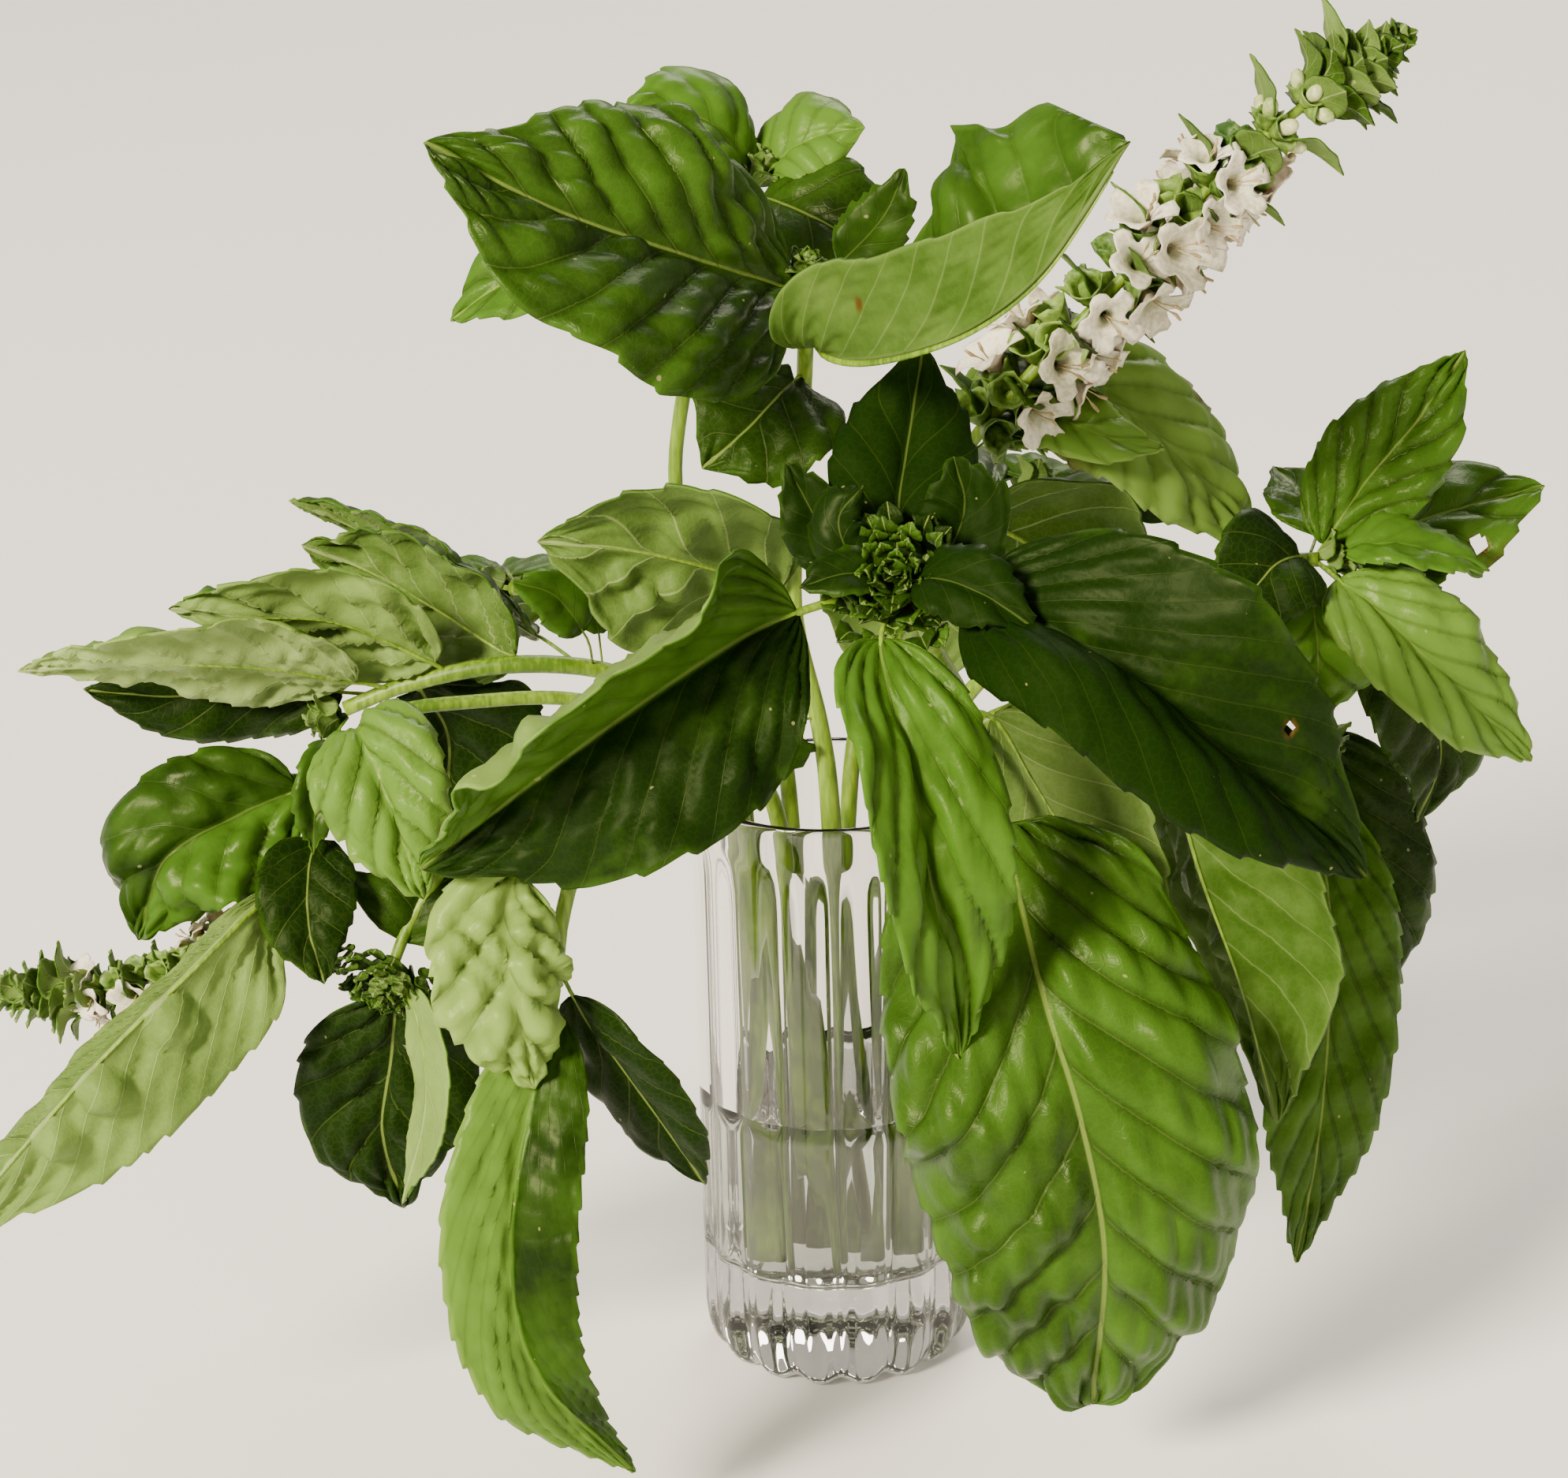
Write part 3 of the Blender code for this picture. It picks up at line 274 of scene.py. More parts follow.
def per_mm(millimetres):
    """A pattern's scale on coordinates in metres, from the real size of one repeat."""
    return 1 / (millimetres * MM)


print("leaf green in linear light:", [round(c, 3) for c in srgb("#3f6a1c")])

# %% [markdown]
# ## Leaf skin
#
# A basil leaf is glossy and deep green above, with side veins that sink in between soft
# pillows, and matt, paler and ribbed below. One function makes both faces, since they share
# their veins: the UV map counts side veins along the leaf in U and the way out from the midrib
# in V, so a vein is where U passes a whole number. Each side vein lies in a furrow, and painted
# shade darkens the green along it, which reads from afar better than the vein itself. The finest
# net, drawn 1.7 mm across, comes from a Voronoi pattern, and slow noise varies the green from
# patch to patch. Three attributes ride on the sheet: its tone, which also carries painted shade,
# how far it has withered and how clearly its veins show.

# %% Leaf skin
VEIN_NET = 1.7
UNEVEN = 5.5
PATCH = 20.0
SPECK = 2.2


def leaf_skin(name, deep, light, pale, vein, roughness, shares, relief):
    """One face of a leaf: its greens, its vein colour and how strongly veins show.

    A tone of 0 is deep, 1 is light and 2 is the pale green of a young leaf, and a tone can
    also carry painted shade. shares is how much of the vein colour the midrib, the side veins
    and the net take, and how dark the painted shade is in the furrow that each side vein
    lies in.
    """
    material = new_material(name)
    add = partial(node, material)
    place = add("TexCoord", {}, out="Object")
    counted = add("UVMap", {}, uv_map="veins")
    number = add("SeparateXYZ", {"Vector": counted}, out="X")
    outward = add("SeparateXYZ", {"Vector": counted}, out="Y")
    midrib = add("MapRange", {"Value": outward, "From Min": 0.006, "From Max": 0.017,
                              "To Min": 1.0, "To Max": 0.0}, interpolation_type="SMOOTHSTEP")
    half = add("Math", {0: number, 1: 0.5}, operation="ADD")
    within = add("Math", {0: half}, operation="FRACT")
    offset = add("Math", {0: within, 1: 0.5}, operation="SUBTRACT")
    away = add("Math", {0: offset}, operation="ABSOLUTE")
    thin = add("MapRange", {"Value": outward, "From Max": 0.8, "To Min": 0.055, "To Max": 0.016})
    side_vein = add("MapRange", {"Value": away, "From Min": 0.0, "From Max": thin, "To Min": 1.0,
                                 "To Max": 0.0}, interpolation_type="SMOOTHSTEP")
    cells = add("TexVoronoi", {"Vector": place, "Scale": per_mm(VEIN_NET)},
                feature="DISTANCE_TO_EDGE")
    net = add("MapRange", {"Value": cells, "From Min": 0.0, "From Max": 0.12, "To Min": 1.0,
                           "To Max": 0.0})
    patches = add("TexNoise", {"Vector": place, "Scale": per_mm(PATCH), "Detail": 4.0,
                               "Roughness": 0.6})
    tone = add("Attribute", {}, out="Fac", attribute_name="tone")
    lean = add("MapRange", {"Value": patches, "From Min": 0.3, "From Max": 0.7, "To Min": -0.22,
                            "To Max": 0.22})
    shade = add("Math", {0: tone, 1: lean}, operation="ADD", use_clamp=True)
    grown = add("Mix", {0: shade, 6: srgb(deep), 7: srgb(light)}, out=2, data_type="RGBA")
    young = add("MapRange", {"Value": tone, "From Min": 1.0, "From Max": 2.0})
    body = add("Mix", {0: young, 6: grown, 7: srgb(pale)}, out=2, data_type="RGBA")
    # painted shade: the green darkens towards deep along each side vein, as the shade in its
    # furrow
    painted_furrow_shade = add("MapRange", {"Value": away, "From Min": 0.0, "From Max": 0.2,
                              "To Min": shares[3], "To Max": 0.0}, interpolation_type="SMOOTHSTEP")
    clear = add("Attribute", {}, out="Fac", attribute_name="clear")
    shadow = add("Math", {0: painted_furrow_shade, 1: clear}, operation="MULTIPLY")
    with_furrow_shade = add("Mix", {0: shadow, 6: body, 7: srgb(deep)}, out=2, data_type="RGBA")
    fine = add("Math", {0: net, 1: shares[2]}, operation="MULTIPLY")
    strong = add("Math", {0: side_vein, 1: shares[1]}, operation="MULTIPLY")
    thick = add("Math", {0: midrib, 1: shares[0]}, operation="MULTIPLY")
    lines = add("Math", {0: fine, 1: strong}, operation="MAXIMUM")
    every = add("Math", {0: lines, 1: thick}, operation="MAXIMUM")
    veins = add("Math", {0: every, 1: clear}, operation="MULTIPLY")
    veined = add("Mix", {0: veins, 6: with_furrow_shade, 7: srgb(vein)}, out=2, data_type="RGBA")
    dots = add("TexNoise", {"Vector": place, "Scale": per_mm(SPECK), "Detail": 0.0})
    speck = add("MapRange", {"Value": dots, "From Min": 0.86, "From Max": 0.88, "To Min": 0.0,
                             "To Max": 0.3})
    dotted = add("Mix", {0: speck, 6: veined, 7: srgb("#b0ac78")}, out=2, data_type="RGBA")
    withered = add("Attribute", {}, out="Fac", attribute_name="wither")
    colour = add("Mix", {0: withered, 6: dotted, 7: srgb("#4a3312")}, out=2, data_type="RGBA")
    sheen = add("MapRange", {"Value": patches, "From Min": 0.3, "From Max": 0.7,
                             "To Min": roughness - 0.04, "To Max": roughness + 0.08})
    dull = add("MapRange", {"Value": tone, "From Min": -0.3, "From Max": 0.2, "To Min": 0.25,
                            "To Max": 0.0})
    shine = add("MapRange", {"Value": tone, "From Min": -0.3, "From Max": 0.3, "To Min": 0.05,
                             "To Max": 0.2})
    gloss = add("Math", {0: sheen, 1: dull}, operation="ADD")
    uneven = add("TexNoise", {"Vector": place, "Scale": per_mm(UNEVEN), "Detail": 2.0})
    ridges = add("Math", {0: side_vein, 1: 0.7 * relief}, operation="MULTIPLY")
    fine_ridges = add("Math", {0: net, 1: 0.16 * relief}, operation="MULTIPLY")
    both = add("Math", {0: ridges, 1: fine_ridges}, operation="ADD")
    lined = add("Math", {0: both, 1: clear}, operation="MULTIPLY")
    height = add("Math", {0: uneven, 1: 2.2, 2: lined}, operation="MULTIPLY_ADD")
    bump = add("Bump", {"Height": height, "Strength": 0.5, "Distance": 0.0003})
    finish_shader(material, {"Base Color": colour, "Roughness": gloss, "Normal": bump,
                             "IOR": 1.45, "Specular IOR Level": shine,
                             "Specular Tint": srgb("#dcecb0")})
    return material


leaf_top = leaf_skin("basil_leaf_upper_side", "#0d2103", "#446b1b", "#809c4c",
                     "#798e41", 0.35, (0.6, 0.14, 0.03, 0.55), -1.0)
leaf_under = leaf_skin("basil_leaf_underside", "#324e13", "#718d45", "#92a66a",
                       "#9bab70", 0.46, (0.5, 0.38, 0.06, 0.15), 1.0)
print("leaf skins:", leaf_top.name, leaf_under.name)

# %% [markdown]
# ## Stems, calyces and petals
#
# Fresh stems are pale yellow-green, smooth, with fine lengthwise streaks and a slight shine.
# Calyces are a livelier green and closed buds paler. Petals are thin and matt, cream white,
# with painted shade that turns them a dull grey-green inside the throat, and light passes into
# them: a little subsurface scattering keeps their shadows soft. The stem's streaks are about
# 0.5 mm wide, far finer than the render shows, so they are drawn twice as coarse.

# %% Stems, calyces and petals
def plain_tissue(name, deep, light, grain, roughness, soft=0.0, stretch=1.0):
    """Plant tissue with two shades in fine streaks or patches, one grain of them in mm."""
    material = new_material(name)
    add = partial(node, material)
    place = add("TexCoord", {}, out="Object")
    drawn = add("Mapping", {"Vector": place, "Scale": (1.0, 1.0, stretch)})
    streaks = add("TexNoise", {"Vector": drawn, "Scale": per_mm(grain), "Detail": 3.0})
    patches = add("TexNoise", {"Vector": place, "Scale": per_mm(18 * grain)})
    both = add("Math", {0: streaks, 1: patches}, operation="ADD")
    share = add("MapRange", {"Value": both, "From Min": 0.75, "From Max": 1.25})
    tone = add("Attribute", {}, out="Fac", attribute_name="tone")
    lean = add("MapRange", {"Value": tone, "To Min": -0.3, "To Max": 0.3})
    shade = add("Math", {0: share, 1: lean}, operation="ADD", use_clamp=True)
    colour = add("Mix", {0: shade, 6: srgb(deep), 7: srgb(light)}, out=2, data_type="RGBA")
    bump = add("Bump", {"Height": both, "Strength": 0.25, "Distance": 0.0002})
    finish_shader(material, {"Base Color": colour, "Roughness": roughness, "Normal": bump,
                             "Subsurface Weight": soft, "Subsurface Scale": 0.001,
                             "IOR": 1.42})
    return material


stem_skin = plain_tissue("basil_stem", "#456608", "#84a42a", 1.0, 0.42, stretch=0.12)
calyx_skin = plain_tissue("basil_calyx", "#2c4e14", "#7b9a42", 1.4, 0.5)
bud_skin = plain_tissue("basil_bud", "#8da35a", "#cfd6a0", 1.4, 0.45, soft=0.2)
petal_skin = plain_tissue("basil_petal", "#a3a584", "#e4decb", 1.2, 0.6, soft=0.25)
anther_skin = plain_tissue("basil_anther", "#7a6848", "#b3a273", 0.5, 0.7)
print("tissues:", stem_skin.name, calyx_skin.name, petal_skin.name, anther_skin.name)

# %% [markdown]
# ## One leaf
#
# A basil blade is an oval sheet, a few tenths of a millimetre thick. Each half rises from the
# midrib by its fold and then curls, the skin between the side veins swells into pillows, and the
# margin carries small forward-pointing teeth, about 5 mm apart on a small leaf and 11 mm on a
# large one. It could be cut out and bent with a lattice, but a grid whose rows run across the
# leaf can be laid along the midrib's curve, so it follows the same midrib as the CAD leaf. Its
# relief, and the outline of a few leaves, go further than the plain CAD blade.

# %% One leaf
STALK = 2.5
LOBE = 1.4
OPENING = 2.2
TOOTH_SHARE = 0.15
SKIN = 0.45
ROW_STEP = 0.95
PATH_STEPS = 160
SWELL = 0.125
LANES = 16
BLOCKS = 9
RIB_SIDES = 8


def both_sides(value):
    """A value for the left and the right half of a blade."""
    return value if isinstance(value, tuple) else (value, value)


def lobe_share(along, broadest, fullness):
    """A blade's width at a share of its length, against its greatest width."""
    rise, fall = LOBE * broadest / fullness, LOBE * (1 - broadest) / fullness
    return (along / broadest) ** rise * ((1 - along) / (1 - broadest)) ** fall


def ripple(draw, along, across, size, count=5):
    """Smooth irregular bumps between about -1 and 1, the same for the same random draw."""
    total = np.zeros(np.broadcast(along, across).shape)
    for _ in range(count):
        turn, phase = draw.uniform(0, math.pi), draw.uniform(0, 2 * math.pi)
        pace = size * draw.uniform(0.6, 1.5)
        total = total + np.sin(pace * (math.cos(turn) * along + math.sin(turn) * across) + phase)
    return total / count ** 0.5 / 1.2


def quilt(draw, veins, out, side, across):
    """The swell between side veins, split again by small cross veins: 0 in a vein, near 1 out."""
    lane = np.floor(veins).astype(int) % LANES
    full = draw.uniform(0.5, 1.0, (2, LANES))[side, lane]
    blocks = out * across + draw.uniform(0, 1, (2, LANES))[side, lane]
    block = np.floor(blocks).astype(int) % BLOCKS
    extra = draw.uniform(0.1, 1.0, (2, LANES, BLOCKS))[side, lane, block]
    between = np.abs(np.sin(math.pi * veins)) ** 0.65
    return between * (full + extra * np.abs(np.sin(math.pi * blocks)) ** 0.7) / 1.35


def blade_points(midrib, width, faces, fold=12, curl=-14, wave=0.05, stalk=8, broadest=0.4,
                 fullness=1.0, gull=13, sweep=0.46, seed=0, pucker=1.0, pairs=None, ruffle=1.0,
                 crumple=0.0, teeth=1.0, bumps=(), tip=0.3):
    """A blade as a grid of points in mm, with its vein marks and the place along and across."""
    draw = np.random.default_rng(seed)
    path = smooth_path(midrib, PATH_STEPS)
    length = path_length(path)
    blade = length - stalk
    width, fold = both_sides(width), both_sides(fold)
    curl, broadest = both_sides(curl), both_sides(broadest)
    broad = max(width)
    tangents, normals = frames_along(path, faces)
    rows = int(np.clip(blade / ROW_STEP, 12, 130))
    columns = 2 * int(np.clip(broad / 2.6, 4, 30))
    along = np.linspace(0, 1, rows + 1)[:, None] * np.ones(columns + 1)
    u = np.linspace(-1, 1, columns + 1)[None, :] * np.ones((rows + 1, 1))
    out = np.abs(u)
    side = (u >= 0).astype(int)
    wide = np.array(width)[side] / 2
    share = np.clip(along, 1e-6, 1 - 1e-6)
    lobe = np.where(side == 1, lobe_share(share, broadest[1], fullness),
                    lobe_share(share, broadest[0], fullness))
    half = STALK / 2.4 * (1 - along) + wide * lobe * (1 - tip * ease(0.7, 0.92, along))
    beat = along * blade / (2.2 + TOOTH_SHARE * broad)
    beat = beat + 0.4 * ripple(draw, along * 9 + side * 20, u * 0, 2.0)
    tooth = beat - np.floor(beat)
    tooth = np.where(tooth < 0.88, tooth / 0.88, (1 - tooth) / 0.12)
    bite = teeth * np.minimum(1.1, 0.06 * wide) * tooth
    bite = bite * ease(0.04, 0.16, along) * ease(1, 0.93, along)
    half = half + (bite - 0.3) * ease(0.8, 1.0, out) * ease(0, 0.1, lobe)
    forward = stalk + blade * along + 0.8 * bite * ease(0.9, 1, out)
    marks = np.clip(forward / length, 0, 1) * PATH_STEPS
    low = np.minimum(marks.astype(int), PATH_STEPS - 1)
    mix = (marks - low)[..., None]
    centre = path[low] * (1 - mix) + path[low + 1] * mix
    tangent = unit(tangents[low] * (1 - mix) + tangents[low + 1] * mix)
    normal = unit(normals[low] * (1 - mix) + normals[low + 1] * mix)
    sideways = np.cross(tangent, normal)
    opened = np.clip(np.minimum(OPENING * lobe, 1.6 * OPENING * along), 0, 1)
    opened = 1 - (1 - opened) ** 2
    start = np.radians((np.array(fold, float)[side] + gull) * opened)
    turn = np.radians((np.array(curl, float)[side] - 2 * gull) * opened)
    turn = np.where(np.abs(turn) < 1e-4, 1e-4, turn)
    end = start + turn * out
    reach = (np.sin(end) - np.sin(start)) / turn
    up = (np.cos(start) - np.cos(end)) / turn
    up = up + wave * lobe * u * u * np.sin(5 * math.pi * along + 2.1 * side)
    mm_along, mm_out = along * blade, u * half
    up = up + 0.065 * ruffle * lobe * out ** 2.5 * ripple(draw, mm_along / 3.6, side * 9.0, 1.0)
    up = up + 0.11 * lobe * out * ripple(draw, mm_along / 9, mm_out / 8, 1.0)
    points = centre + sideways * (np.sign(u) * reach * half)[..., None]
    points = points + normal * (up * half)[..., None]
    # swell the skin between the veins, along the sheet's own normal
    skin = np.cross(np.gradient(points, axis=1), np.gradient(points, axis=0))
    size = np.linalg.norm(skin, axis=-1, keepdims=True)
    skin = np.where(size > 1e-9, skin / np.maximum(size, 1e-9), normal)
    pairs = pairs or float(np.clip(blade / 12, 4, 8))
    veins = pairs * (along * 1.06 - sweep * out ** 0.85 * (1 - 0.5 * along)) + 0.22 * side
    inside = ease(0.02, 0.16, out) * (1 - 0.7 * ease(0.8, 1, out)) * ease(0, 0.35, lobe)
    swell = SWELL * pucker * min(blade / pairs, 0.36 * broad)
    height = swell * inside * (quilt(draw, veins, out, side, 1 + broad / 16) - 0.5)
    height = height + 0.3 * swell * inside * ripple(draw, mm_along / 2.2, mm_out / 2.2, 1.0)
    creases = 0.5 - np.abs(ripple(draw, mm_along / 1.8, mm_out / 1.6, 1.0, count=5))
    height = height + crumple * 0.9 * inside * creases
    height = height - 0.4 * np.exp(-(mm_out / 1.2) ** 2)
    for place, across, radius, rise in bumps:
        far = np.hypot(mm_along - place * blade, mm_out - across * broad / 2)
        height = height + rise * np.clip(1 - (far / radius) ** 2, 0, 1) ** 0.8
    points = points + skin * height[..., None]
    marks = np.stack([veins, np.abs(mm_out) / (8 + 0.5 * broad)], axis=-1)
    return points, marks, along, u


print("one tooth every", round(2.2 + TOOTH_SHARE * 60, 1), "mm on a large leaf")

# %% [markdown]
# ## A leaf with its stalk and midrib
#
# The stalk runs on under the blade as the midrib, a ridge that thins towards the tip, so one
# tapering tube makes both. The blade is a single sheet until it gets its thickness: the upper
# face keeps the first material and the face below takes the second.

# %% A leaf with its stalk and midrib
def make_leaf(name, seed, holes=(), spots=(), tone=None, tips=0.0, clear=1.0, **form):
    """The objects of one leaf: its blade and the tube of its stalk and midrib.

    holes are (share along, place across from -1 to 1, radius in mm), each with a brown edge,
    spots are the same without the hole, tips is how far the margin has withered, and clear is
    how clearly the veins show.
    """
    draw = np.random.default_rng(1000 + seed)
    if tone is None:
        tone = float(np.clip(0.42 + draw.normal(0, 0.13), 0.1, 0.8))
    points, marks, along, u = blade_points(seed=seed, **form)
    path = smooth_path(form["midrib"], PATH_STEPS)
    length = path_length(path)
    shade = np.where(u < 0, both_sides(tone)[0], both_sides(tone)[1]) + 0.0 * along
    # painted highlight: the margin is lightened as the bright rim that light makes along a leaf's
    # edge
    shade = shade + 0.3 * ease(0.93, 1.0, np.abs(u))
    wither = 0.0 * along
    cut = np.zeros(along.shape, bool)
    for number, (place, across, radius) in enumerate(holes + spots):
        row = int(place * (len(along) - 1))
        column = int((across + 1) / 2 * (along.shape[1] - 1))
        far = np.linalg.norm(points - points[row, column], axis=-1)
        far = far + 0.3 * radius * ripple(draw, points[..., 0], points[..., 2], 1.4)
        cut |= (far < radius) & (number < len(holes))
        wither = np.maximum(wither, ease(radius + 1.3, radius + 0.3, far))
    edge = ease(0.84, 1.0, np.abs(u)) * ease(0.1, 0.6, ripple(draw, along * 14, u, 1.0, 3))
    wither = np.maximum(wither, tips * edge)
    blade = sheet(name + "_blade", points, [leaf_top, leaf_under], marks, thickness=SKIN,
                  tone=shade, wither=wither, clear=clear, cut=cut)
    stalk = form.get("stalk", 8)
    steps = int(np.clip(length / 2.5, 8, 40))
    spine = smooth_path(form["midrib"], steps)
    tangents, normals = frames_along(spine, form["faces"])
    mark = np.linspace(0, length, steps + 1)
    ridge = np.clip((mark - stalk) / (length - stalk), 0, 1)
    thick = 0.15 + 0.012 * max(both_sides(form["width"]))
    radii = thick * np.where(mark < stalk, 1.0, 1.0 - 0.88 * ridge ** 0.6)
    sunk = np.clip((mark - stalk + 2) / 4, 0, 1) * (radii * 0.6 + 0.4)
    keep = slice(0, steps - 1)
    rib = tube(name + "_rib", (spine - normals * sunk[:, None])[keep], radii[keep], RIB_SIDES,
               stem_skin, up=form["faces"], tone=0.45 * clear)
    return [blade, rib]

# %% [markdown]
# ## A flower
#
# A basil flower sits in a two-lipped calyx like a small green bell. Its white corolla widens
# from a short tube into an upper lip with four lobes and one long lower lip, and four
# stamens with pale anthers reach out past it, of which two are made, since more would not
# show. Its sheets are shaped once, wrapped round an axis, and every copy on a spike then gets
# its own size and a slight bend.

# %% A flower
PETAL = 0.28
CALYX_RING = 12
COROLLA_RING = 30


def bell(profile, lobes, ring, frill=0.0):
    """A sheet wrapped round +Z: rows of (height, radius), reaching further along each lobe.

    lobes is a function of the angle that gives how far the last rows reach, from 0 to 1.
    """
    turn = np.linspace(0, 2 * math.pi, ring + 1)[None, :]
    rows = np.array(profile, float)
    share = np.linspace(0, 1, len(rows))[:, None]
    reach = 1 - (1 - lobes(turn)) * ease(0.45, 1.0, share)
    marks = share * reach * (len(rows) - 1)
    low = np.clip(marks.astype(int), 0, len(rows) - 2)
    mix = marks - low
    height = rows[low, 0] * (1 - mix) + rows[low + 1, 0] * mix
    radius = rows[low, 1] * (1 - mix) + rows[low + 1, 1] * mix
    height = height + frill * share ** 4 * (np.sin(9 * turn) + 0.6 * np.sin(5 * turn + 1))
    return np.stack([radius * np.cos(turn), radius * np.sin(turn), height], axis=-1)


def calyx_lobes(turn):
    """Four small points and, at a turn of half pi, one broad lobe."""
    points = 0.70 + 0.30 * np.abs(np.cos(2.5 * (turn + math.pi / 2)))
    broad = np.exp(-(np.angle(np.exp(1j * (turn - math.pi / 2))) / 0.8) ** 2)
    return np.maximum(points, broad)


def corolla_lobes(turn):
    """Four rounded lobes above and one long lip below, with a gap at each side of the lip."""
    off = np.abs(np.angle(np.exp(1j * (turn + math.pi / 2))))
    lip = np.exp(-(off / 0.55) ** 4)
    upper = (0.66 + 0.26 * np.abs(np.sin(2 * math.pi * (off - 0.8) / (math.pi - 0.8)))) * (
        off > 0.75)
    return np.clip(np.maximum(np.maximum(upper, lip), 0.5), 0, 1)


CALYX = bell([(0, 0.3), (0.8, 1.5), (2.2, 2.3), (4.0, 2.7), (5.8, 3.1), (7.6, 4.2)], calyx_lobes,
             CALYX_RING)
COROLLA = bell([(2.5, 0.8), (4.8, 1.1), (6.6, 1.7), (8.0, 2.8), (9.2, 4.2), (10.0, 5.7),
                (10.3, 7.2), (10.0, 8.6)], corolla_lobes, COROLLA_RING, 0.35)
COROLLA[..., 1] -= 0.10 * np.clip(COROLLA[..., 2] - 5, 0, None) ** 1.1
# painted shade: the corolla's tone falls to its deep, greyer colour inside the throat
THROAT_SHADE = ease(1.6, 3.4, np.hypot(COROLLA[..., 0], COROLLA[..., 1]))
BUD = bell([(2.0, 0.7), (3.5, 1.5), (5.2, 1.9), (6.8, 1.9), (8.2, 1.4), (9.0, 0.0)],
           lambda turn: 1.0, CALYX_RING)


def placed(points, root, direction, spin, size):
    """Points modelled along +Z, turned to a direction, spun about it and put at a root."""
    direction = unit(direction)
    aside = unit(np.cross((0.0, 0.0, 1.0) if abs(direction[2]) < 0.95 else (1.0, 0.0, 0.0),
                          direction))
    up = np.cross(direction, aside)
    across = math.cos(spin) * aside + math.sin(spin) * up
    above = -math.sin(spin) * aside + math.cos(spin) * up
    basis = np.stack([across, above, direction])
    return np.asarray(root, float) + size * points @ basis


def make_flower(name, root, direction, spin, size, stage, draw):
    """One flower: stage 0 is a bud, 1 a calyx alone, 2 an open flower."""
    closed = CALYX * (0.85, 0.85, 0.75) if stage == 0 else CALYX
    parts = [sheet(name + "_calyx", placed(closed, root, direction, spin, size), [calyx_skin],
                   wrap=True, thickness=PETAL, tone=draw.uniform(0.2, 0.9))]
    if stage == 0:
        parts.append(sheet(name + "_bud", placed(BUD, root, direction, spin, size), [bud_skin],
                           wrap=True, tone=draw.uniform(0, 1)))
    if stage == 2:
        bloom = size * draw.uniform(0.85, 1.05)
        bend = draw.uniform(-0.25, 0.25, 2)
        shaped = COROLLA * (draw.uniform(0.85, 1.1), draw.uniform(0.85, 1.1), 1)
        shaped[..., :2] += bend * np.clip(shaped[..., 2:] - 5, 0, None)
        shaped[..., 2] += 0.04 * draw.uniform(-1, 1) * shaped[..., 0] ** 2
        parts.append(sheet(name + "_corolla", placed(shaped, root, direction, spin, bloom),
                           [petal_skin], wrap=True, thickness=PETAL,
                           tone=THROAT_SHADE * draw.uniform(0.7, 1.1)))
        for side in (-1, 1):
            thread = np.array([(0, 0, 5), (0.5 * side, -0.9, 9), (1.1 * side, -2.4, 11.6),
                               (1.5 * side, -2.6, 13.2)])
            path = placed(smooth_path(thread, 6), root, direction, spin, bloom)
            radii = np.array([0.14] * 5 + [0.40, 0.30]) * bloom
            parts.append(tube(name + "_stamen", path, radii, 5, anther_skin, tone=0.7))
    return parts


print("a calyx of", CALYX.shape[0] - 1, "rows and a corolla of", COROLLA.shape[0] - 1)

# %% [markdown]
# ## Bracts, bud heads and flower spikes
#
# Under each whorl of six flowers sits a pair of pointed bracts, and at the tip they crowd into
# a leafy tuft. A bract is a very small leaf, so it comes from the same blade, with a shorter
# curve and hardly any pillows. The same tuft closes a stem that doesn't flower, and two of them,
# one inside the other, make the crowded head of a shoot before its flowers open.

# %% Bracts, bud heads and flower spikes
WHORL_GAP = 8.0
AXIS_STEPS = 80
GOLDEN_TURN = 2.4
FLOWERS_A_WHORL = 6
TIP_BRACTS = 42
BRACT_SKIN = 0.35


def make_bract(name, root, direction, up, length, width, seed, tone=0.6, bend=0.25, crumple=0.1,
               teeth=0.3):
    """A small pointed leaf that bends back as it goes out."""
    direction, up = unit(direction), unit(up)
    root = np.asarray(root, float)
    midrib = [root, root + direction * length * 0.45 + up * length * bend * 0.3,
              root + direction * length + up * length * bend * (-0.1)]
    points, marks, _, _ = blade_points(midrib, width, up, fold=16, curl=-20, stalk=0.6,
                                       broadest=0.4, seed=seed, pucker=0.4, ruffle=0.5, gull=0,
                                       pairs=3.0, crumple=crumple, teeth=teeth)
    return sheet(name, points, [leaf_top, leaf_under], marks, thickness=BRACT_SKIN,
                 tone=tone)


def make_tuft(name, root, way, length, reach, count, seed, tones, open_at=1.0, dome=0.0,
              **form):
    """Bracts that crowd round an axis, ever shorter and more upright to its tip.

    dome is how far from the axis, in mm, the lowest of them stand.
    """
    draw = np.random.default_rng(seed)
    way = unit(way)
    aside = unit(np.cross(way, (0.2, 0.9, 0.1)))
    ahead = np.cross(way, aside)
    parts = []
    for number in range(count):
        rise = number / max(1, count - 1)
        angle = GOLDEN_TURN * number + draw.normal(0, 0.15)
        out = math.cos(angle) * aside + math.sin(angle) * ahead
        heading = out * open_at * (1.05 - 0.75 * rise) + way * (0.6 + 0.8 * rise)
        long = reach * (1 - 0.45 * rise) * draw.uniform(0.85, 1.15)
        place = np.asarray(root) + way * length * rise + out * dome * (1 - rise) ** 0.5
        parts.append(make_bract(f"{name}_{number}", place, heading, way - 0.5 * out, long,
                                long * draw.uniform(0.68, 0.86), seed + number,
                                tone=draw.uniform(*tones), bend=0.6, **form))
    return parts


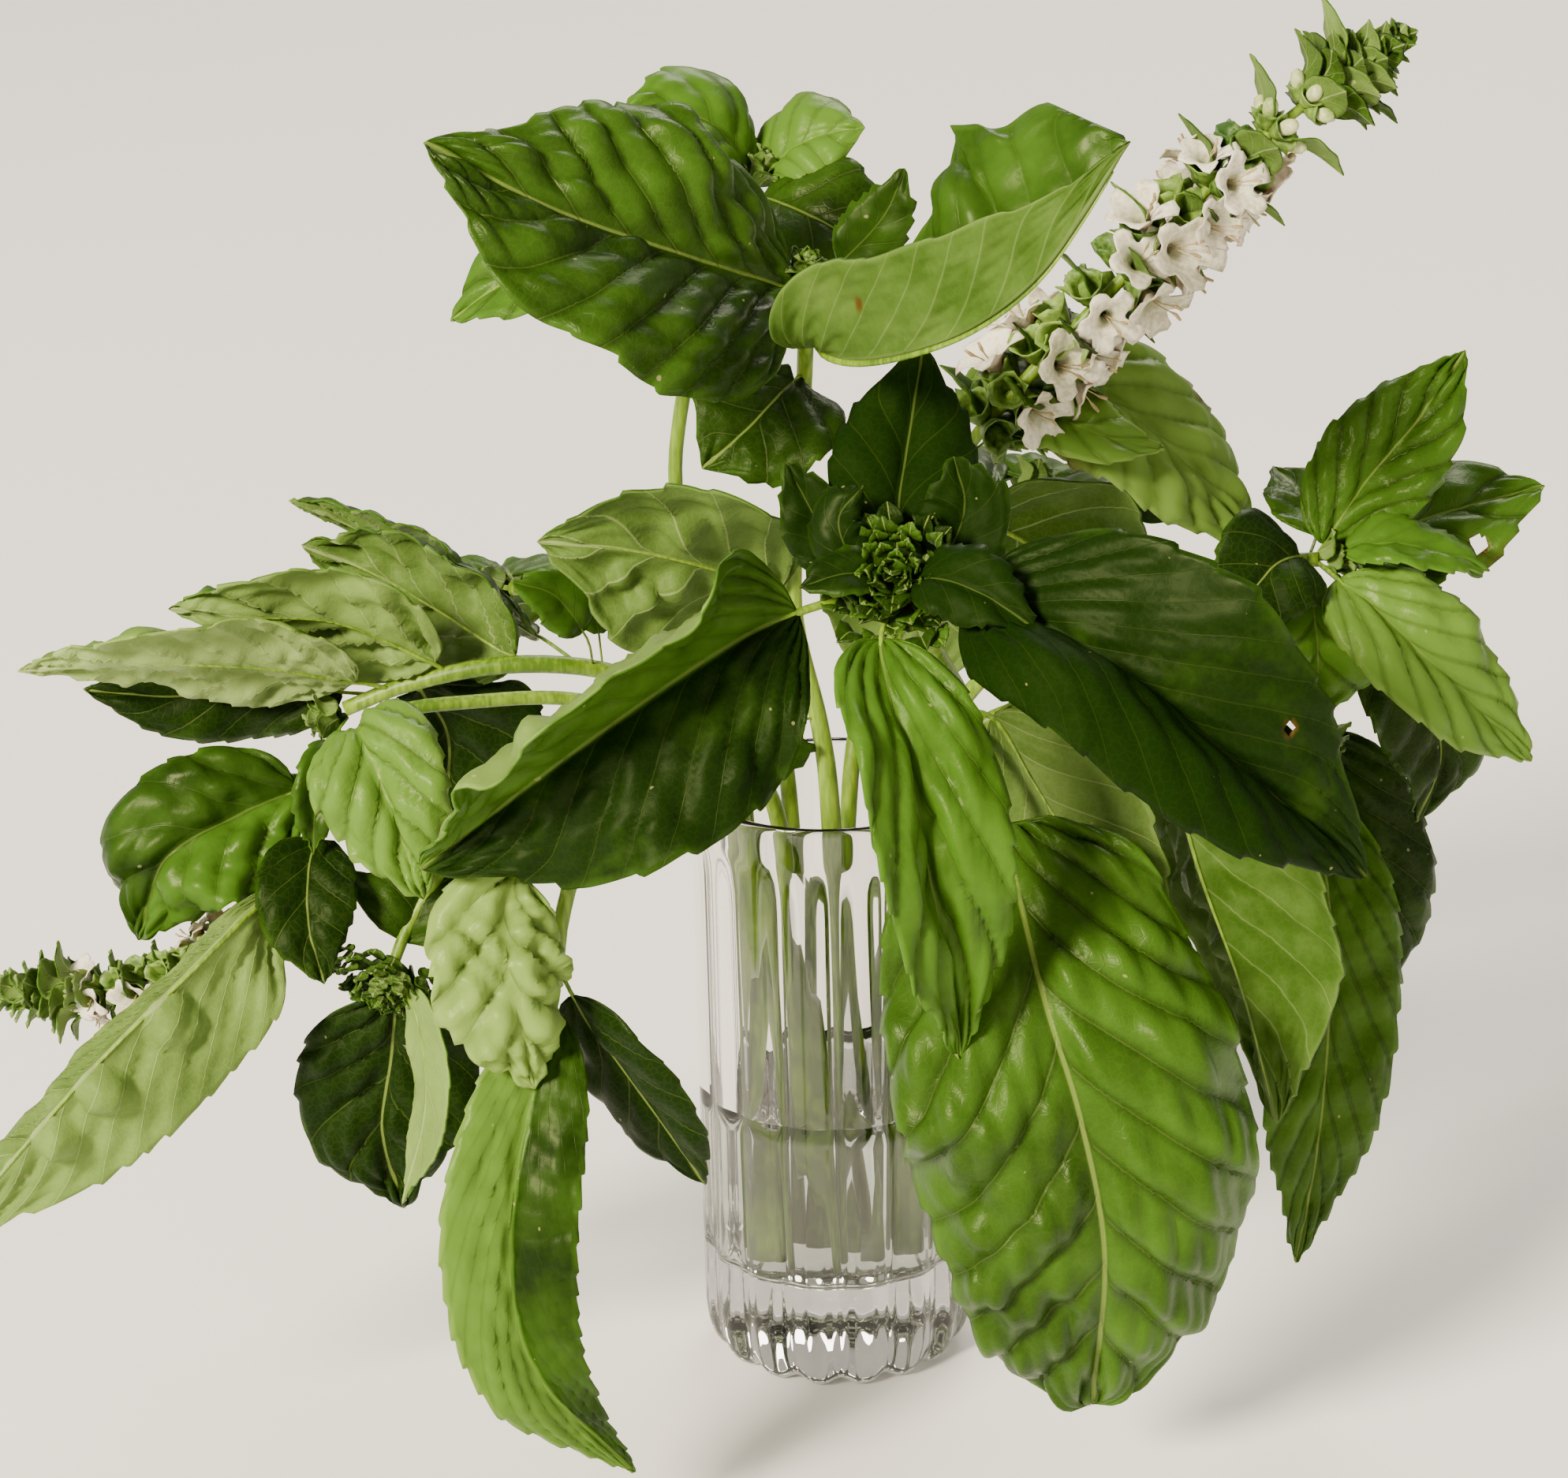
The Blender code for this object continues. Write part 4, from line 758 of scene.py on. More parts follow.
def make_spike(name, axis, open_to, size, seed, tuft, reach, tones, crowd):
    """A flower spike: whorls of flowers with their bracts.

    Of the buds up to the share open_to of the axis, the share crowd is open. The tip is a tuft
    of bracts, tuft mm long, that reach that far out.
    """
    draw = np.random.default_rng(seed)
    path = smooth_path(axis, AXIS_STEPS)
    tangents, normals = frames_along(path, (0, 0.2, 1), settle=0)
    length = path_length(path)
    whorls = max(2, round((length - 0.35 * tuft) / (WHORL_GAP * size)))
    parts = []
    for whorl in range(whorls):
        share = (whorl + 0.35) / whorls * (1 - 0.35 * tuft / length)
        index = int(share * AXIS_STEPS)
        place, tangent, normal = path[index], tangents[index], normals[index]
        aside = np.cross(tangent, normal)
        young = size * (1 - 0.4 * max(0.0, share - 0.5) / 0.5)
        lean = 0.2 + 1.0 * max(0.0, share - 0.35)
        for flower in range(FLOWERS_A_WHORL):
            angle = math.pi / 3 * flower + 0.5 * (whorl % 2) + draw.normal(0, 0.12)
            out = math.cos(angle) * normal + math.sin(angle) * aside
            opened = 0.05 <= share <= open_to and draw.random() < crowd
            stage = 2 if opened else 1 if share < open_to else 0
            direction = unit(out + tangent * (lean + draw.normal(0, 0.15)))
            parts += make_flower(f"{name}_flower", place + out * 0.9, direction,
                                 math.pi / 2 + draw.normal(0, 0.35), young * 1.05, stage, draw)
        for side in (0, 1):
            angle = math.pi * (side + (whorl % 2) / 2) + 0.37
            out = math.cos(angle) * normal + math.sin(angle) * aside
            long = draw.uniform(11, 15) * size * (1 + 0.25 * share)
            parts.append(make_bract(f"{name}_bract", place + out * 1.2,
                                    out + tangent * (0.1 + 0.7 * lean), tangent, long,
                                    0.7 * long, seed + 7 * whorl + side,
                                    tone=draw.uniform(0.0, 0.8)))
    start = path[-1] - tangents[-1] * 0.8 * tuft
    return parts + make_tuft(name + "_tip", start, tangents[-1], 0.75 * tuft, reach,
                             TIP_BRACTS, seed + 500, tones, 0.95, dome=3)


def make_head(name, root, up, size, seed):
    """A crowded head of buds and small young leaves, such as a shoot's tip before it flowers."""
    up = unit(up)
    root = np.asarray(root, float)
    outer = make_tuft(name + "_outer", root, up, 5 * size, 14 * size, 12, seed, (-0.2, 0.3), 1.1,
                      dome=3 * size, teeth=2.5, crumple=0.5)
    inner = make_tuft(name + "_inner", root + up * 3 * size, up, 7 * size, 7 * size, 54,
                      seed + 40, (-0.2, 0.6), 0.7, dome=14 * size, teeth=2.5, crumple=0.5)
    return outer + inner


print("whorls", WHORL_GAP, "mm apart")

# %% [markdown]
# ## Where everything grows
#
# The stems start just over the glass's floor, lean round its axis, pass inside the rim and go
# on to their leaves. Each leaf is written as its midrib from stem to tip, its width, the way its
# upper side looks, and its fold and curl. The same places are in the CAD source.

# %% Stems in the glass
INNER_FOOT = 6.5
OUTER_FOOT = 13.5
RIM_REACH = 23.2
GLASS_HEIGHT = 136.0
STEM_FOOT = 25.0
SPIRAL = 26.0
MID_GLASS = 80.0


def on_circle(radius, degrees, height):
    """A point at a clock angle round the glass, counted from +X towards +Y."""
    angle = math.radians(degrees)
    return (radius * math.cos(angle), radius * math.sin(angle), height)


def stem_route(clock, outer, above):
    """A stem's path from the glass floor, leaning round the axis, and on above the rim."""
    foot = np.array(on_circle(OUTER_FOOT if outer else INNER_FOOT, clock + SPIRAL, STEM_FOOT))
    rim = np.array(on_circle(RIM_REACH, clock, GLASS_HEIGHT))
    share = (MID_GLASS - foot[2]) / (rim[2] - foot[2])
    return [tuple(foot), tuple(foot + (rim - foot) * share), tuple(rim), *above]


def stem(name, route, thick, thin, leaves, **more):
    """A stem: its route, radii in mm at foot and tip, leaves, and any branches or spikes."""
    return {"name": name, "route": route, "thick": thick, "thin": thin, "leaves": leaves, **more}


def leaf(midrib, width, faces, **form):
    """A leaf's midrib points, full width, the way its upper side looks, and its form."""
    return {"midrib": midrib, "width": width, "faces": faces, **form}


# %% The stems and their leaves
STEMS = [
    stem("front_stem", stem_route(-35, True, [(27, -18, 149), (29, -30, 162), (22, -52, 182),
         (18, -64, 194), (13, -75, 204)]), 2.2, 1.7, [
        leaf([(14, -72, 202), (3, -76, 202), (-17, -84, 197), (-48, -96, 180), (-82, -92, 153)],
             60, (-0.2, -0.85, 0.35), fold=(5, 45), curl=(-12, 84), stalk=22),
        leaf([(14, -72, 202), (22, -78, 203), (34, -86, 202), (52, -98, 195), (73, -104, 179),
             (104, -98, 149)], 52, (0.15, -0.8, 0.5), fold=34, curl=-26, stalk=16),
        leaf([(14, -71, 202), (14, -62, 215), (17, -50, 229), (20, -44, 245)], 30, (0, -1, 0.3),
             fold=12, curl=-25, stalk=6),
        leaf([(15, -70, 201), (10, -84, 198), (10, -92, 192), (14, -101, 176), (19, -104, 148),
             (24, -98, 112)], 34, (0, -1, 0.2), fold=32, curl=-18, wave=0.1, stalk=18),
        leaf([(29, -31, 162), (33, -52, 159), (36, -72, 143), (41, -90, 122), (48, -98, 98),
             (53, -97, 67), (52, -80, 24)], 76, (0, -1, 0.25), fold=-4, curl=-22, stalk=38,
             broadest=0.45, fullness=1.7),
        leaf([(28, -34, 164), (35, -40, 163), (42, -50, 153), (53, -60, 136), (66, -67, 111)], 36,
             (0.1, 0.95, 0.2), fold=8, curl=-16),
        leaf([(14, -70, 202), (4, -62, 204), (-3, -60, 215), (-8, -58, 225)], 14, (0, -1, 0.2),
             stalk=12),
        leaf([(14, -71, 203), (5, -74, 209), (2, -72, 217), (7, -70, 223)], 13, (0, -1, 0.2),
             fold=-10, curl=-40, stalk=7),
        leaf([(14, -71, 203), (23, -68, 208), (27, -66, 217), (25, -64, 227)], 18, (0, -1, 0.3),
             stalk=8),
        leaf([(13, -74, 204), (21, -84, 208), (30, -90, 206), (39, -95, 201)], 15, (0, -0.8, 0.6),
             fold=20, stalk=7),
        leaf([(13, -74, 204), (4, -79, 208), (-6, -81, 206)], 10, (0, -0.7, 0.7), stalk=5),
    ], spikes=[([(14, -72, 202), (12, -79, 208), (11, -85, 212)], -1, 0.9)]),
    stem("middle_stem", stem_route(-90, False, [(-2, -22, 157), (-7, -23, 182), (-6, -26, 206),
         (-4, -29, 232), (-3, -36, 255)]), 2.5, 1.7, [
        leaf([(-3, -35, 253), (-10, -43, 258), (-28, -60, 268), (-52, -72, 280), (-75, -76, 294)],
             62, (0.05, -0.8, 0.6), fold=8, curl=-14, stalk=7),
        leaf([(-4, -29, 236), (-9, -39, 234), (-16, -44, 228), (-25, -47, 221)], 32,
             (0, -0.8, 0.5), fold=10, curl=-18, wave=0.1, stalk=4),
        leaf([(-3, -35, 253), (-3, -48, 250), (2, -64, 248), (12, -82, 252), (26, -97, 260),
             (38, -106, 271), (47, -109, 284), (55, -107, 297)], (80, 42), (0, -0.1, 1),
             fold=(82, 70), curl=(-14, 6), stalk=22, broadest=(0.62, 0.34)),
        leaf([(-7, -23, 184), (-15, -31, 192), (-28, -39, 199), (-43, -44, 204), (-59, -45, 206)],
             46, (0, 0.97, 0.2), fold=-6, curl=-24, stalk=7),
        leaf([(-2, -22, 159), (-9, -27, 158), (-11, -29, 147)], 13, (0, -1, 0.2), stalk=5),
        leaf([(-3, -35, 254), (6, -35, 262), (13, -36, 270), (17, -36, 279)], 12, (0, -1, 0.2),
             stalk=9),
    ]),
    stem("flower_stem", stem_route(45, True, [(20, 13, 160), (24, 4, 188), (28, -10, 208),
         (34, -20, 222), (58, -21, 248), (85, -15, 274), (104, -10, 288), (117, -6, 296)]), 2.2,
         1.0, [
        leaf([(31, -16, 216), (39, -6, 224), (57, -7, 225), (77, -10, 210), (94, -6, 187)], 34,
             (0.1, -0.7, 0.7), fold=8, curl=-24, stalk=8),
        leaf([(30, -14, 213), (38, -17, 220), (48, -21, 223), (59, -26, 220), (71, -25, 217)], 16,
             (0, -0.6, 0.75), stalk=9),
        leaf([(25, 1, 192), (33, 3, 194), (45, 6, 188), (66, 8, 170)], 58, (0.2, 0.85, 0.4),
             fold=6, curl=-18, stalk=9),
    ], spikes=[([(33, -19, 221), (58, -21, 248), (85, -15, 274), (104, -10, 288), (119, -5, 297)],
         0.66, 1.0, 28, 13, (-0.2, 0.6), 0.42)]),
    stem("tall_back_stem", stem_route(115, False, [(-19, 16, 160), (-29, 9, 186), (-32, 8, 204),
         (-29, 8, 226), (-23, 8, 251), (-14, 10, 267)]), 2.2, 1.5, [
        leaf([(-14, 10, 266), (-18, 6, 277), (-26, 3, 284), (-40, -2, 286)], 34, (0, -0.5, 0.85),
             fold=6, curl=-34, stalk=4),
        leaf([(-14, 10, 266), (-8, 9, 273), (0, 7, 278), (10, 5, 280)], 28, (0, -0.6, 0.8), fold=4,
             curl=-30, stalk=5),
        leaf([(-14, 9, 266), (-5, -4, 265), (4, -9, 261), (14, -11, 253)], 30, (0, -0.8, 0.6),
             fold=8, curl=-16, stalk=4),
        leaf([(-23, 8, 250), (-38, -8, 258), (-51, -18, 261), (-64, -20, 255), (-77, -18, 246)],
             26, (0, -0.6, 0.8), stalk=22),
    ]),
    stem("left_stem", stem_route(180, True, [(-33, -8, 158), (-48, -18, 169), (-69, -22, 172),
         (-90, -22, 168), (-103, -22, 163)]), 2.5, 1.7, [
        leaf([(-80, -22, 170), (-86, -24, 175), (-103, -27, 184), (-121, -31, 187),
             (-138, -27, 188)], 30, (0, 0.95, 0.3), fold=(-4, 20), curl=-20, stalk=5),
        leaf([(-60, -21, 171), (-69, -18, 174), (-82, -12, 181), (-97, -8, 189), (-112, -6, 195)],
             32, (0.2, 0.95, 0.3), fold=8, curl=-22, stalk=7),
        leaf([(-52, -19, 170), (-66, -8, 177), (-83, 2, 185), (-100, 7, 194), (-116, 9, 201)], 24,
             (0, 0.7, 0.7), stalk=14),
        leaf([(-92, -22, 167), (-104, -28, 172), (-120, -34, 177), (-142, -40, 180),
             (-169, -36, 178)], 28, (0, 0.7, 0.6), fold=10, curl=-18, stalk=10),
        leaf([(-94, -22, 166), (-104, -20, 166), (-120, -19, 167), (-140, -20, 166),
             (-159, -20, 168)], 22, (0, -0.95, 0.1), fold=8, curl=-14, stalk=10),
        leaf([(-88, -22, 168), (-87, -12, 162), (-83, -5, 150), (-85, -2, 129)], 42,
             (-0.1, -0.9, 0.2), fold=10, curl=-14, stalk=7),
        leaf([(-50, -19, 170), (-51, -25, 179), (-57, -28, 189), (-66, -30, 193)], 11,
             (0, -0.7, 0.7), stalk=12),
        leaf([(-48, -18, 169), (-49, -16, 179), (-51, -15, 188), (-53, -14, 196)], 8, (0, -1, 0.1),
             stalk=8),
    ]),
    stem("low_left_stem", stem_route(-150, True, [(-32, -27, 158), (-53, -40, 170),
         (-75, -46, 172), (-90, -49, 171), (-99, -51, 165), (-104, -53, 154), (-109, -57, 138),
         (-119, -60, 126), (-141, -60, 117), (-160, -60, 115), (-178, -60, 116)]), 2.2, 1.0, [
        leaf([(-103, -53, 157), (-111, -54, 156), (-124, -59, 152), (-137, -63, 145),
             (-145, -57, 125)], 34, (0, -0.9, 0.4), fold=8, curl=-20, wave=0.1, stalk=7),
        leaf([(-97, -51, 167), (-96, -62, 172), (-91, -72, 165), (-83, -78, 141)], 28,
             (0, -1, 0.2), fold=10, stalk=8),
        leaf([(-99, -51, 165), (-102, -61, 166), (-105, -66, 157), (-106, -67, 147)], 10,
             (0, -1, 0.2), fold=20, stalk=5),
        leaf([(-104, -54, 151), (-107, -65, 145), (-107, -74, 135), (-104, -78, 123)], 20,
             (0, -1, 0.2), stalk=7),
        leaf([(-109, -57, 138), (-117, -70, 138), (-128, -80, 130), (-153, -90, 108),
             (-185, -86, 70)], 44, (0.2, 0.9, 0.3), fold=(98, 6), curl=-18, stalk=10),
        leaf([(-101, -52, 160), (-112, -46, 156), (-124, -43, 158), (-136, -43, 160)], 14,
             (0, 0.4, 0.9), stalk=10),
    ], spikes=[([(-119, -60, 126), (-139, -60, 118), (-156, -60, 115), (-175, -60, 116)], 0.9,
         0.62, 26, 10, (0.4, 1.2), 0.25)]),
    stem("hanging_stem", stem_route(-120, True, [(-21, -38, 153), (-36, -60, 161), (-49, -75, 153),
         (-55, -80, 138), (-57, -81, 123)]), 2.2, 1.5, [
        leaf([(-48, -74, 154), (-60, -83, 152), (-66, -89, 143), (-64, -98, 127), (-61, -96, 107)],
             31, (0.1, -1, 0.2), fold=6, curl=-22, wave=0.12, stalk=20),
        leaf([(-57, -81, 124), (-61, -93, 108), (-67, -104, 78), (-63, -104, 48), (-44, -92, 17)],
             28, (0, -1, 0.1), fold=24, curl=-14, stalk=6),
        leaf([(-56, -80, 126), (-52, -82, 117), (-45, -84, 107), (-36, -83, 92), (-28, -78, 76)],
             25, (-0.5, -0.8, -0.3), fold=10, stalk=6),
        leaf([(-91, -70, 122), (-91, -68, 115), (-93, -65, 100), (-96, -62, 82), (-93, -57, 62)],
             37, (0, -1, 0.2), fold=8, curl=-18, stalk=6),
        leaf([(-91, -69, 123), (-85, -80, 116), (-84, -84, 98), (-90, -83, 76)], 12, (0.7, 0.7, 0),
             stalk=8),
        leaf([(-90, -68, 124), (-86, -65, 133), (-84, -61, 141), (-87, -57, 149)], 28,
             (0, -1, 0.3), fold=10, stalk=4),
    ], branches=[[(-36, -60, 161), (-56, -59, 156), (-74, -60, 147), (-86, -64, 133),
         (-92, -71, 121)]], spikes=[([(-90, -68, 124), (-93, -74, 118), (-95, -79, 114)], -1,
         0.8)]),
    stem("right_stem", stem_route(12, True, [(33, 3, 157), (48, -4, 170), (65, -10, 181),
         (86, -16, 189), (104, -21, 191)]), 2.3, 1.6, [
        leaf([(103, -21, 191), (107, -18, 196), (115, -13, 206), (126, -9, 218), (136, -6, 232)],
             26, (-0.2, -0.9, 0.35), fold=10, wave=0.1, stalk=4),
        leaf([(102, -20, 191), (105, -9, 195), (102, 3, 200), (98, 11, 203)], 17, (0, -0.6, 0.8),
             stalk=9),
        leaf([(103, -21, 191), (113, -9, 189), (130, 1, 193), (157, 8, 198)], 34, (0, -0.6, 0.8),
             fold=8, curl=-18, wave=0.1, stalk=12),
        leaf([(103, -21, 191), (112, -25, 195), (122, -28, 196), (139, -28, 190)], 14,
             (0, -0.4, 0.9), stalk=7),
        leaf([(103, -21, 191), (113, -34, 185), (128, -40, 171), (148, -36, 150)], 28,
             (0.3, -0.8, 0.5), fold=14, stalk=8),
        leaf([(103, -21, 191), (117, -22, 178), (127, -20, 162), (132, -17, 145), (128, -13, 128)],
             28, (0.2, -0.95, 0.2), fold=8, stalk=16),
        leaf([(102, -20, 191), (98, -28, 194), (92, -34, 193), (83, -39, 183)], 24,
             (-0.1, -0.8, 0.6), stalk=6),
        leaf([(101, -20, 190), (102, -29, 182), (103, -30, 171), (103, -27, 157)], 26,
             (0, -1, 0.2), stalk=8),
        leaf([(64, -10, 181), (66, -30, 179), (68, -48, 166), (75, -60, 138), (84, -66, 112),
             (92, -64, 81)], 54, (0.3, 0.9, 0.2), fold=(58, 4), curl=-18, stalk=34),
    ]),
    stem("low_right_stem", stem_route(-12, False, [(34, -9, 152), (56, -10, 159), (80, -8, 161),
         (98, -6, 157), (106, -6, 148)]), 2.2, 1.6, [
        leaf([(104, -6, 151), (108, -5, 143), (113, -6, 130), (120, -8, 106), (120, -5, 79)], 32,
             (0.2, -0.95, 0.1), fold=8, curl=-20, stalk=6),
        leaf([(105, -6, 149), (106, -12, 132), (109, -20, 104), (107, -25, 62), (103, -20, 25)],
             31, (0.1, -0.95, 0.1), fold=8, curl=-20, stalk=14),
        leaf([(98, -6, 157), (93, -16, 150), (90, -28, 132), (94, -36, 108)], 38,
             (0.1, -0.95, 0.2), fold=8, curl=-16, stalk=8),
    ]),
    stem("back_right_stem", stem_route(75, False, [(14, 34, 154), (27, 48, 170), (40, 58, 180),
         (47, 62, 184)]), 2.2, 1.6, [
        leaf([(47, 62, 184), (56, 58, 188), (72, 52, 188), (94, 48, 178)], 42, (0.3, -0.1, 0.95),
             fold=10, curl=-22),
        leaf([(46, 61, 183), (54, 74, 186), (62, 90, 180), (66, 102, 160)], 44, (0.2, 0.5, 0.85),
             fold=10, curl=-22),
        leaf([(45, 61, 182), (34, 74, 186), (22, 84, 182), (8, 92, 168)], 42, (-0.3, 0.3, 0.9),
             fold=10, curl=-20),
        leaf([(28, 49, 171), (48, 48, 168), (74, 46, 150), (88, 44, 126)], 46, (0.5, 0, 0.85),
             fold=10, curl=-22, stalk=12),
        leaf([(27, 48, 170), (26, 66, 168), (24, 82, 152), (22, 88, 122)], 50, (0, 0.6, 0.8),
             fold=10, curl=-20, stalk=10),
    ]),
    stem("back_left_stem", stem_route(150, True, [(-32, 23, 153), (-48, 38, 163), (-62, 48, 167),
         (-72, 53, 166)]), 2.2, 1.6, [
        leaf([(-71, 52, 166), (-84, 54, 168), (-100, 54, 164), (-116, 50, 148)], 40,
             (-0.4, 0, 0.9), fold=10, curl=-22),
        leaf([(-71, 52, 166), (-74, 66, 167), (-78, 82, 160), (-80, 92, 138)], 46,
             (-0.1, 0.5, 0.85), fold=10, curl=-22),
        leaf([(-49, 38, 163), (-42, 54, 166), (-35, 70, 158), (-32, 80, 136)], 46, (0, 0.6, 0.8),
             fold=10, curl=-20, stalk=9),
        leaf([(-68, 50, 166), (-62, 40, 171), (-54, 32, 173), (-45, 26, 170)], 26, (0, -0.3, 0.95),
             fold=10, curl=-20),
    ]),
]
print(len(STEMS), "stems,", sum(len(stem["leaves"]) for stem in STEMS), "leaves")

# %% [markdown]
# ## Each leaf's own looks
#
# No two leaves of a bunch look alike: young ones are bright and crinkled, old ones are dark
# and smooth, a few have holes or a withered edge. The tones also hold painted shade: a leaf that
# lies in the shade of others gets a darker tone, and some blades get a lit tone on one half and
# a shaded tone on the other. These looks are kept apart from the places, by stem and leaf
# number. A tone of 0 is a deep green, 1 a light one and 2 that of a young leaf, less than 0 is
# dull and dark, and two tones are for the two halves of a blade. A bump is (share along, place
# across, radius, rise in mm), and one seen from below has a negative rise.
# A width, fold or outline given here goes before the one above.

# %% Each leaf's own looks
JAGGED = {"crumple": 1.0, "teeth": 2.8, "ruffle": 3.0, "clear": 0.3}
LOOKS = {
    "front_stem": {
        # painted shade: dark tones for the shade on this leaf's first half and on leaves 1 and 2
        0: {"tone": (-0.05, 0.6), "clear": 0.5, "sweep": 0.6, "ruffle": 1.6, "pucker": 1.3,
            "bumps": ((0.5, 0.8, 5, 2.4), (0.57, 0.72, 4, -2.2), (0.63, 0.85, 5, 2.6),
                      (0.7, 0.7, 4, -2.4), (0.77, 0.8, 5, 2.2))},
        1: {"tone": (-0.05, -0.3), "clear": 0.35, "fold": (34, 80), "curl": (-26, -110), "gull": 0,
            "sweep": 0.65, "pucker": 0.8, "holes": ((0.66, -0.55, 0.6),)},
        2: {"tone": -0.3, "clear": 0.4, "sweep": 0.6, "pucker": 0.8, "gull": 20},
        3: {"tone": 0.7, "clear": 0.6, "sweep": 0.95, "pairs": 3.6, "pucker": 1.8, "ruffle": 1.6,
            "fold": (10, 66), "gull": 10},
        4: {"tone": (0.55, 0.4), "sweep": 0.42, "ruffle": 2.4, "pucker": 1.35, "gull": 24,
            "tip": 0.0},
        6: {"tone": -0.1, **JAGGED},
        7: {"tone": 0.0, **JAGGED},
        8: {"tone": -0.2, **JAGGED},
        9: {"tone": -0.2, **JAGGED},
        10: {"tone": 0.0, **JAGGED},
    },
    "middle_stem": {
        # painted shade: the first half's darker tone is the shade that falls on it
        0: {"tone": (0.2, 0.4), "pucker": 2.0, "ruffle": 1.5, "gull": 24},
        1: {"tone": 0.1, "pucker": 1.8, "crumple": 1.2, "ruffle": 2.0},
        2: {"tone": (0.4, 0.1), "clear": 0.35, "pucker": 0.6, "ruffle": 0.3, "teeth": 0.4,
            "gull": 4, "wave": 0, "width": (84, 44), "broadest": (0.88, 0.34),
            "bumps": ((0.6, -0.45, 11, 5.0),), "spots": ((0.28, 0.5, 0.7),)},
        3: {"tone": 0.3, "pucker": 1.4, "ruffle": 1.6,
            "bumps": ((0.42, 0.3, 5, -4.5), (0.55, 0.45, 3.5, -3.2), (0.5, -0.3, 4.5, -3.5),
                      (0.66, 0.3, 3, -2.5))},
        4: {"tone": 0.2, **JAGGED},
        5: {"tone": 0.1, **JAGGED},
    },
    "flower_stem": {
        0: {"tone": 1.4, "clear": 0.4, "tips": 0.9, "ruffle": 2.0, "pucker": 1.6, "gull": 22},
        1: {"tone": 1.2, "clear": 0.5, "ruffle": 1.6, "pucker": 1.6},
        2: {"tone": 0.1},
    },
    "tall_back_stem": {
        0: {"tone": 0.9, "clear": 0.5, "gull": 26, "pucker": 1.6},
        1: {"tone": 1.1, "clear": 0.5, "gull": 26, "ruffle": 2.4, "pucker": 1.6},
        2: {"tone": 0.25}, 3: {"tone": 0.7},
    },
    "left_stem": {
        0: {"tone": 0.9, "pucker": 2.4, "crumple": 0.8},
        1: {"tone": 0.3, "pucker": 2.4, "crumple": 0.5, "gull": 22},
        2: {"tone": 0.4, "pucker": 2.4, "gull": 22},
        3: {"tone": 1.4, "pucker": 2.0, "crumple": 0.9, "ruffle": 2.0},
        4: {"tone": 0.0, "pucker": 1.2},
        5: {"tone": -0.1, "pucker": 1.5},
        6: {"tone": 0.5, **JAGGED},
        7: {"tone": 0.5, **JAGGED},
    },
    "low_left_stem": {
        0: {"tone": (0.7, 0.2), "clear": 0.4, "pucker": 1.6, "crumple": 0.6, "ruffle": 2.2,
            "gull": 30},
        1: {"tone": 1.2, "clear": 0.8, "crumple": 0.7, "sweep": 0.7, "teeth": 1.6, "pucker": 2.4,
            "gull": 26},
        2: {"tone": 0.3, **JAGGED},
        3: {"tone": 0.0, "pucker": 1.5},
        4: {"tone": (0.4, 0.6), "sweep": 0.6, "ruffle": 1.0, "gull": 4,
            "width": (26, 44), "broadest": (0.7, 0.4),
            "bumps": ((0.33, 0.24, 6, -5.0), (0.52, 0.22, 5.5, -5.5), (0.66, 0.2, 5, -4.5),
                      (0.6, -0.22, 4, -3.0), (0.76, -0.2, 4, -3.0))},
        5: {"tone": 0.8, "ruffle": 2.0},
    },
    "hanging_stem": {
        0: {"tone": 1.7, "clear": 0.6, "crumple": 2.4, "pucker": 2.4, "ruffle": 2.8, "teeth": 1.8,
            "curl": (-70, -30)},
        1: {"tone": (0.15, 1.15), "clear": 0.3, "sweep": 0.8, "pucker": 1.2, "ruffle": 1.6},
        2: {"tone": -0.1, "ruffle": 2.0},
        3: {"tone": -0.1, "pucker": 1.8, "ruffle": 1.6},
        4: {"tone": 0.7},
        5: {"tone": 0.1, "pucker": 1.6, "crumple": 0.6},
    },
    "right_stem": {
        0: {"tone": 0.6, "pucker": 3.0, "sweep": 0.65, "gull": 24, "crumple": 0.5},
        1: {"tone": 0.5, "pucker": 1.5},
        2: {"tone": 0.7, "ruffle": 3.0, "tips": 0.4,
            "holes": ((0.62, 0.7, 1.3), (0.5, 0.8, 0.9))},
        3: {"tone": 0.8, **JAGGED},
        4: {"tone": 1.2, "clear": 0.6, "pucker": 1.6, "sweep": 0.6, "ruffle": 2.0, "gull": 20},
        5: {"tone": 0.1, "pucker": 1.4},
        6: {"tone": -0.1, "pucker": 1.5},
        7: {"tone": 0.9, "pucker": 1.6, "crumple": 0.8},
        8: {"tone": 0.05, "clear": 0.4, "pucker": 1.2, "ruffle": 1.8, "sweep": 0.5,
            "bumps": ((0.45, -0.4, 6, -3.5), (0.6, -0.35, 5, -3.0)),
            "holes": ((0.03, -0.5, 1.0),)},
    },
    "low_right_stem": {
        0: {"tone": 0.1, "pucker": 1.3}, 1: {"tone": 0.5, "pucker": 1.3},
        2: {"tone": -0.2, "pucker": 1.5},
    },
}
print("leaves with looks of their own:", sum(len(leaves) for leaves in LOOKS.values()))

# %% [markdown]
# ## The glass
#
# The glass is a pressed highball: a thick solid base, sixteen broad convex flutes that fade
# out under the rim, and a smooth bore. Glass is turned round an axis in the mould, so a half
# profile is drawn and spun, and the flutes are then pushed into the outside. It replaces the
# CAD glass, whose facets would break up the light that bends through it.

# %% The glass
GLASS_FLOOR = 24.0
GLASS_RADIUS = 31.0
BORE_RADIUS = 27.6
WATER_LEVEL = 63.5
RIB_COUNT = 16
RIB_DEPTH = 1.25
RIB_TOP = 127.0
SPIN_STEPS = 192
WATER_STEPS = 96


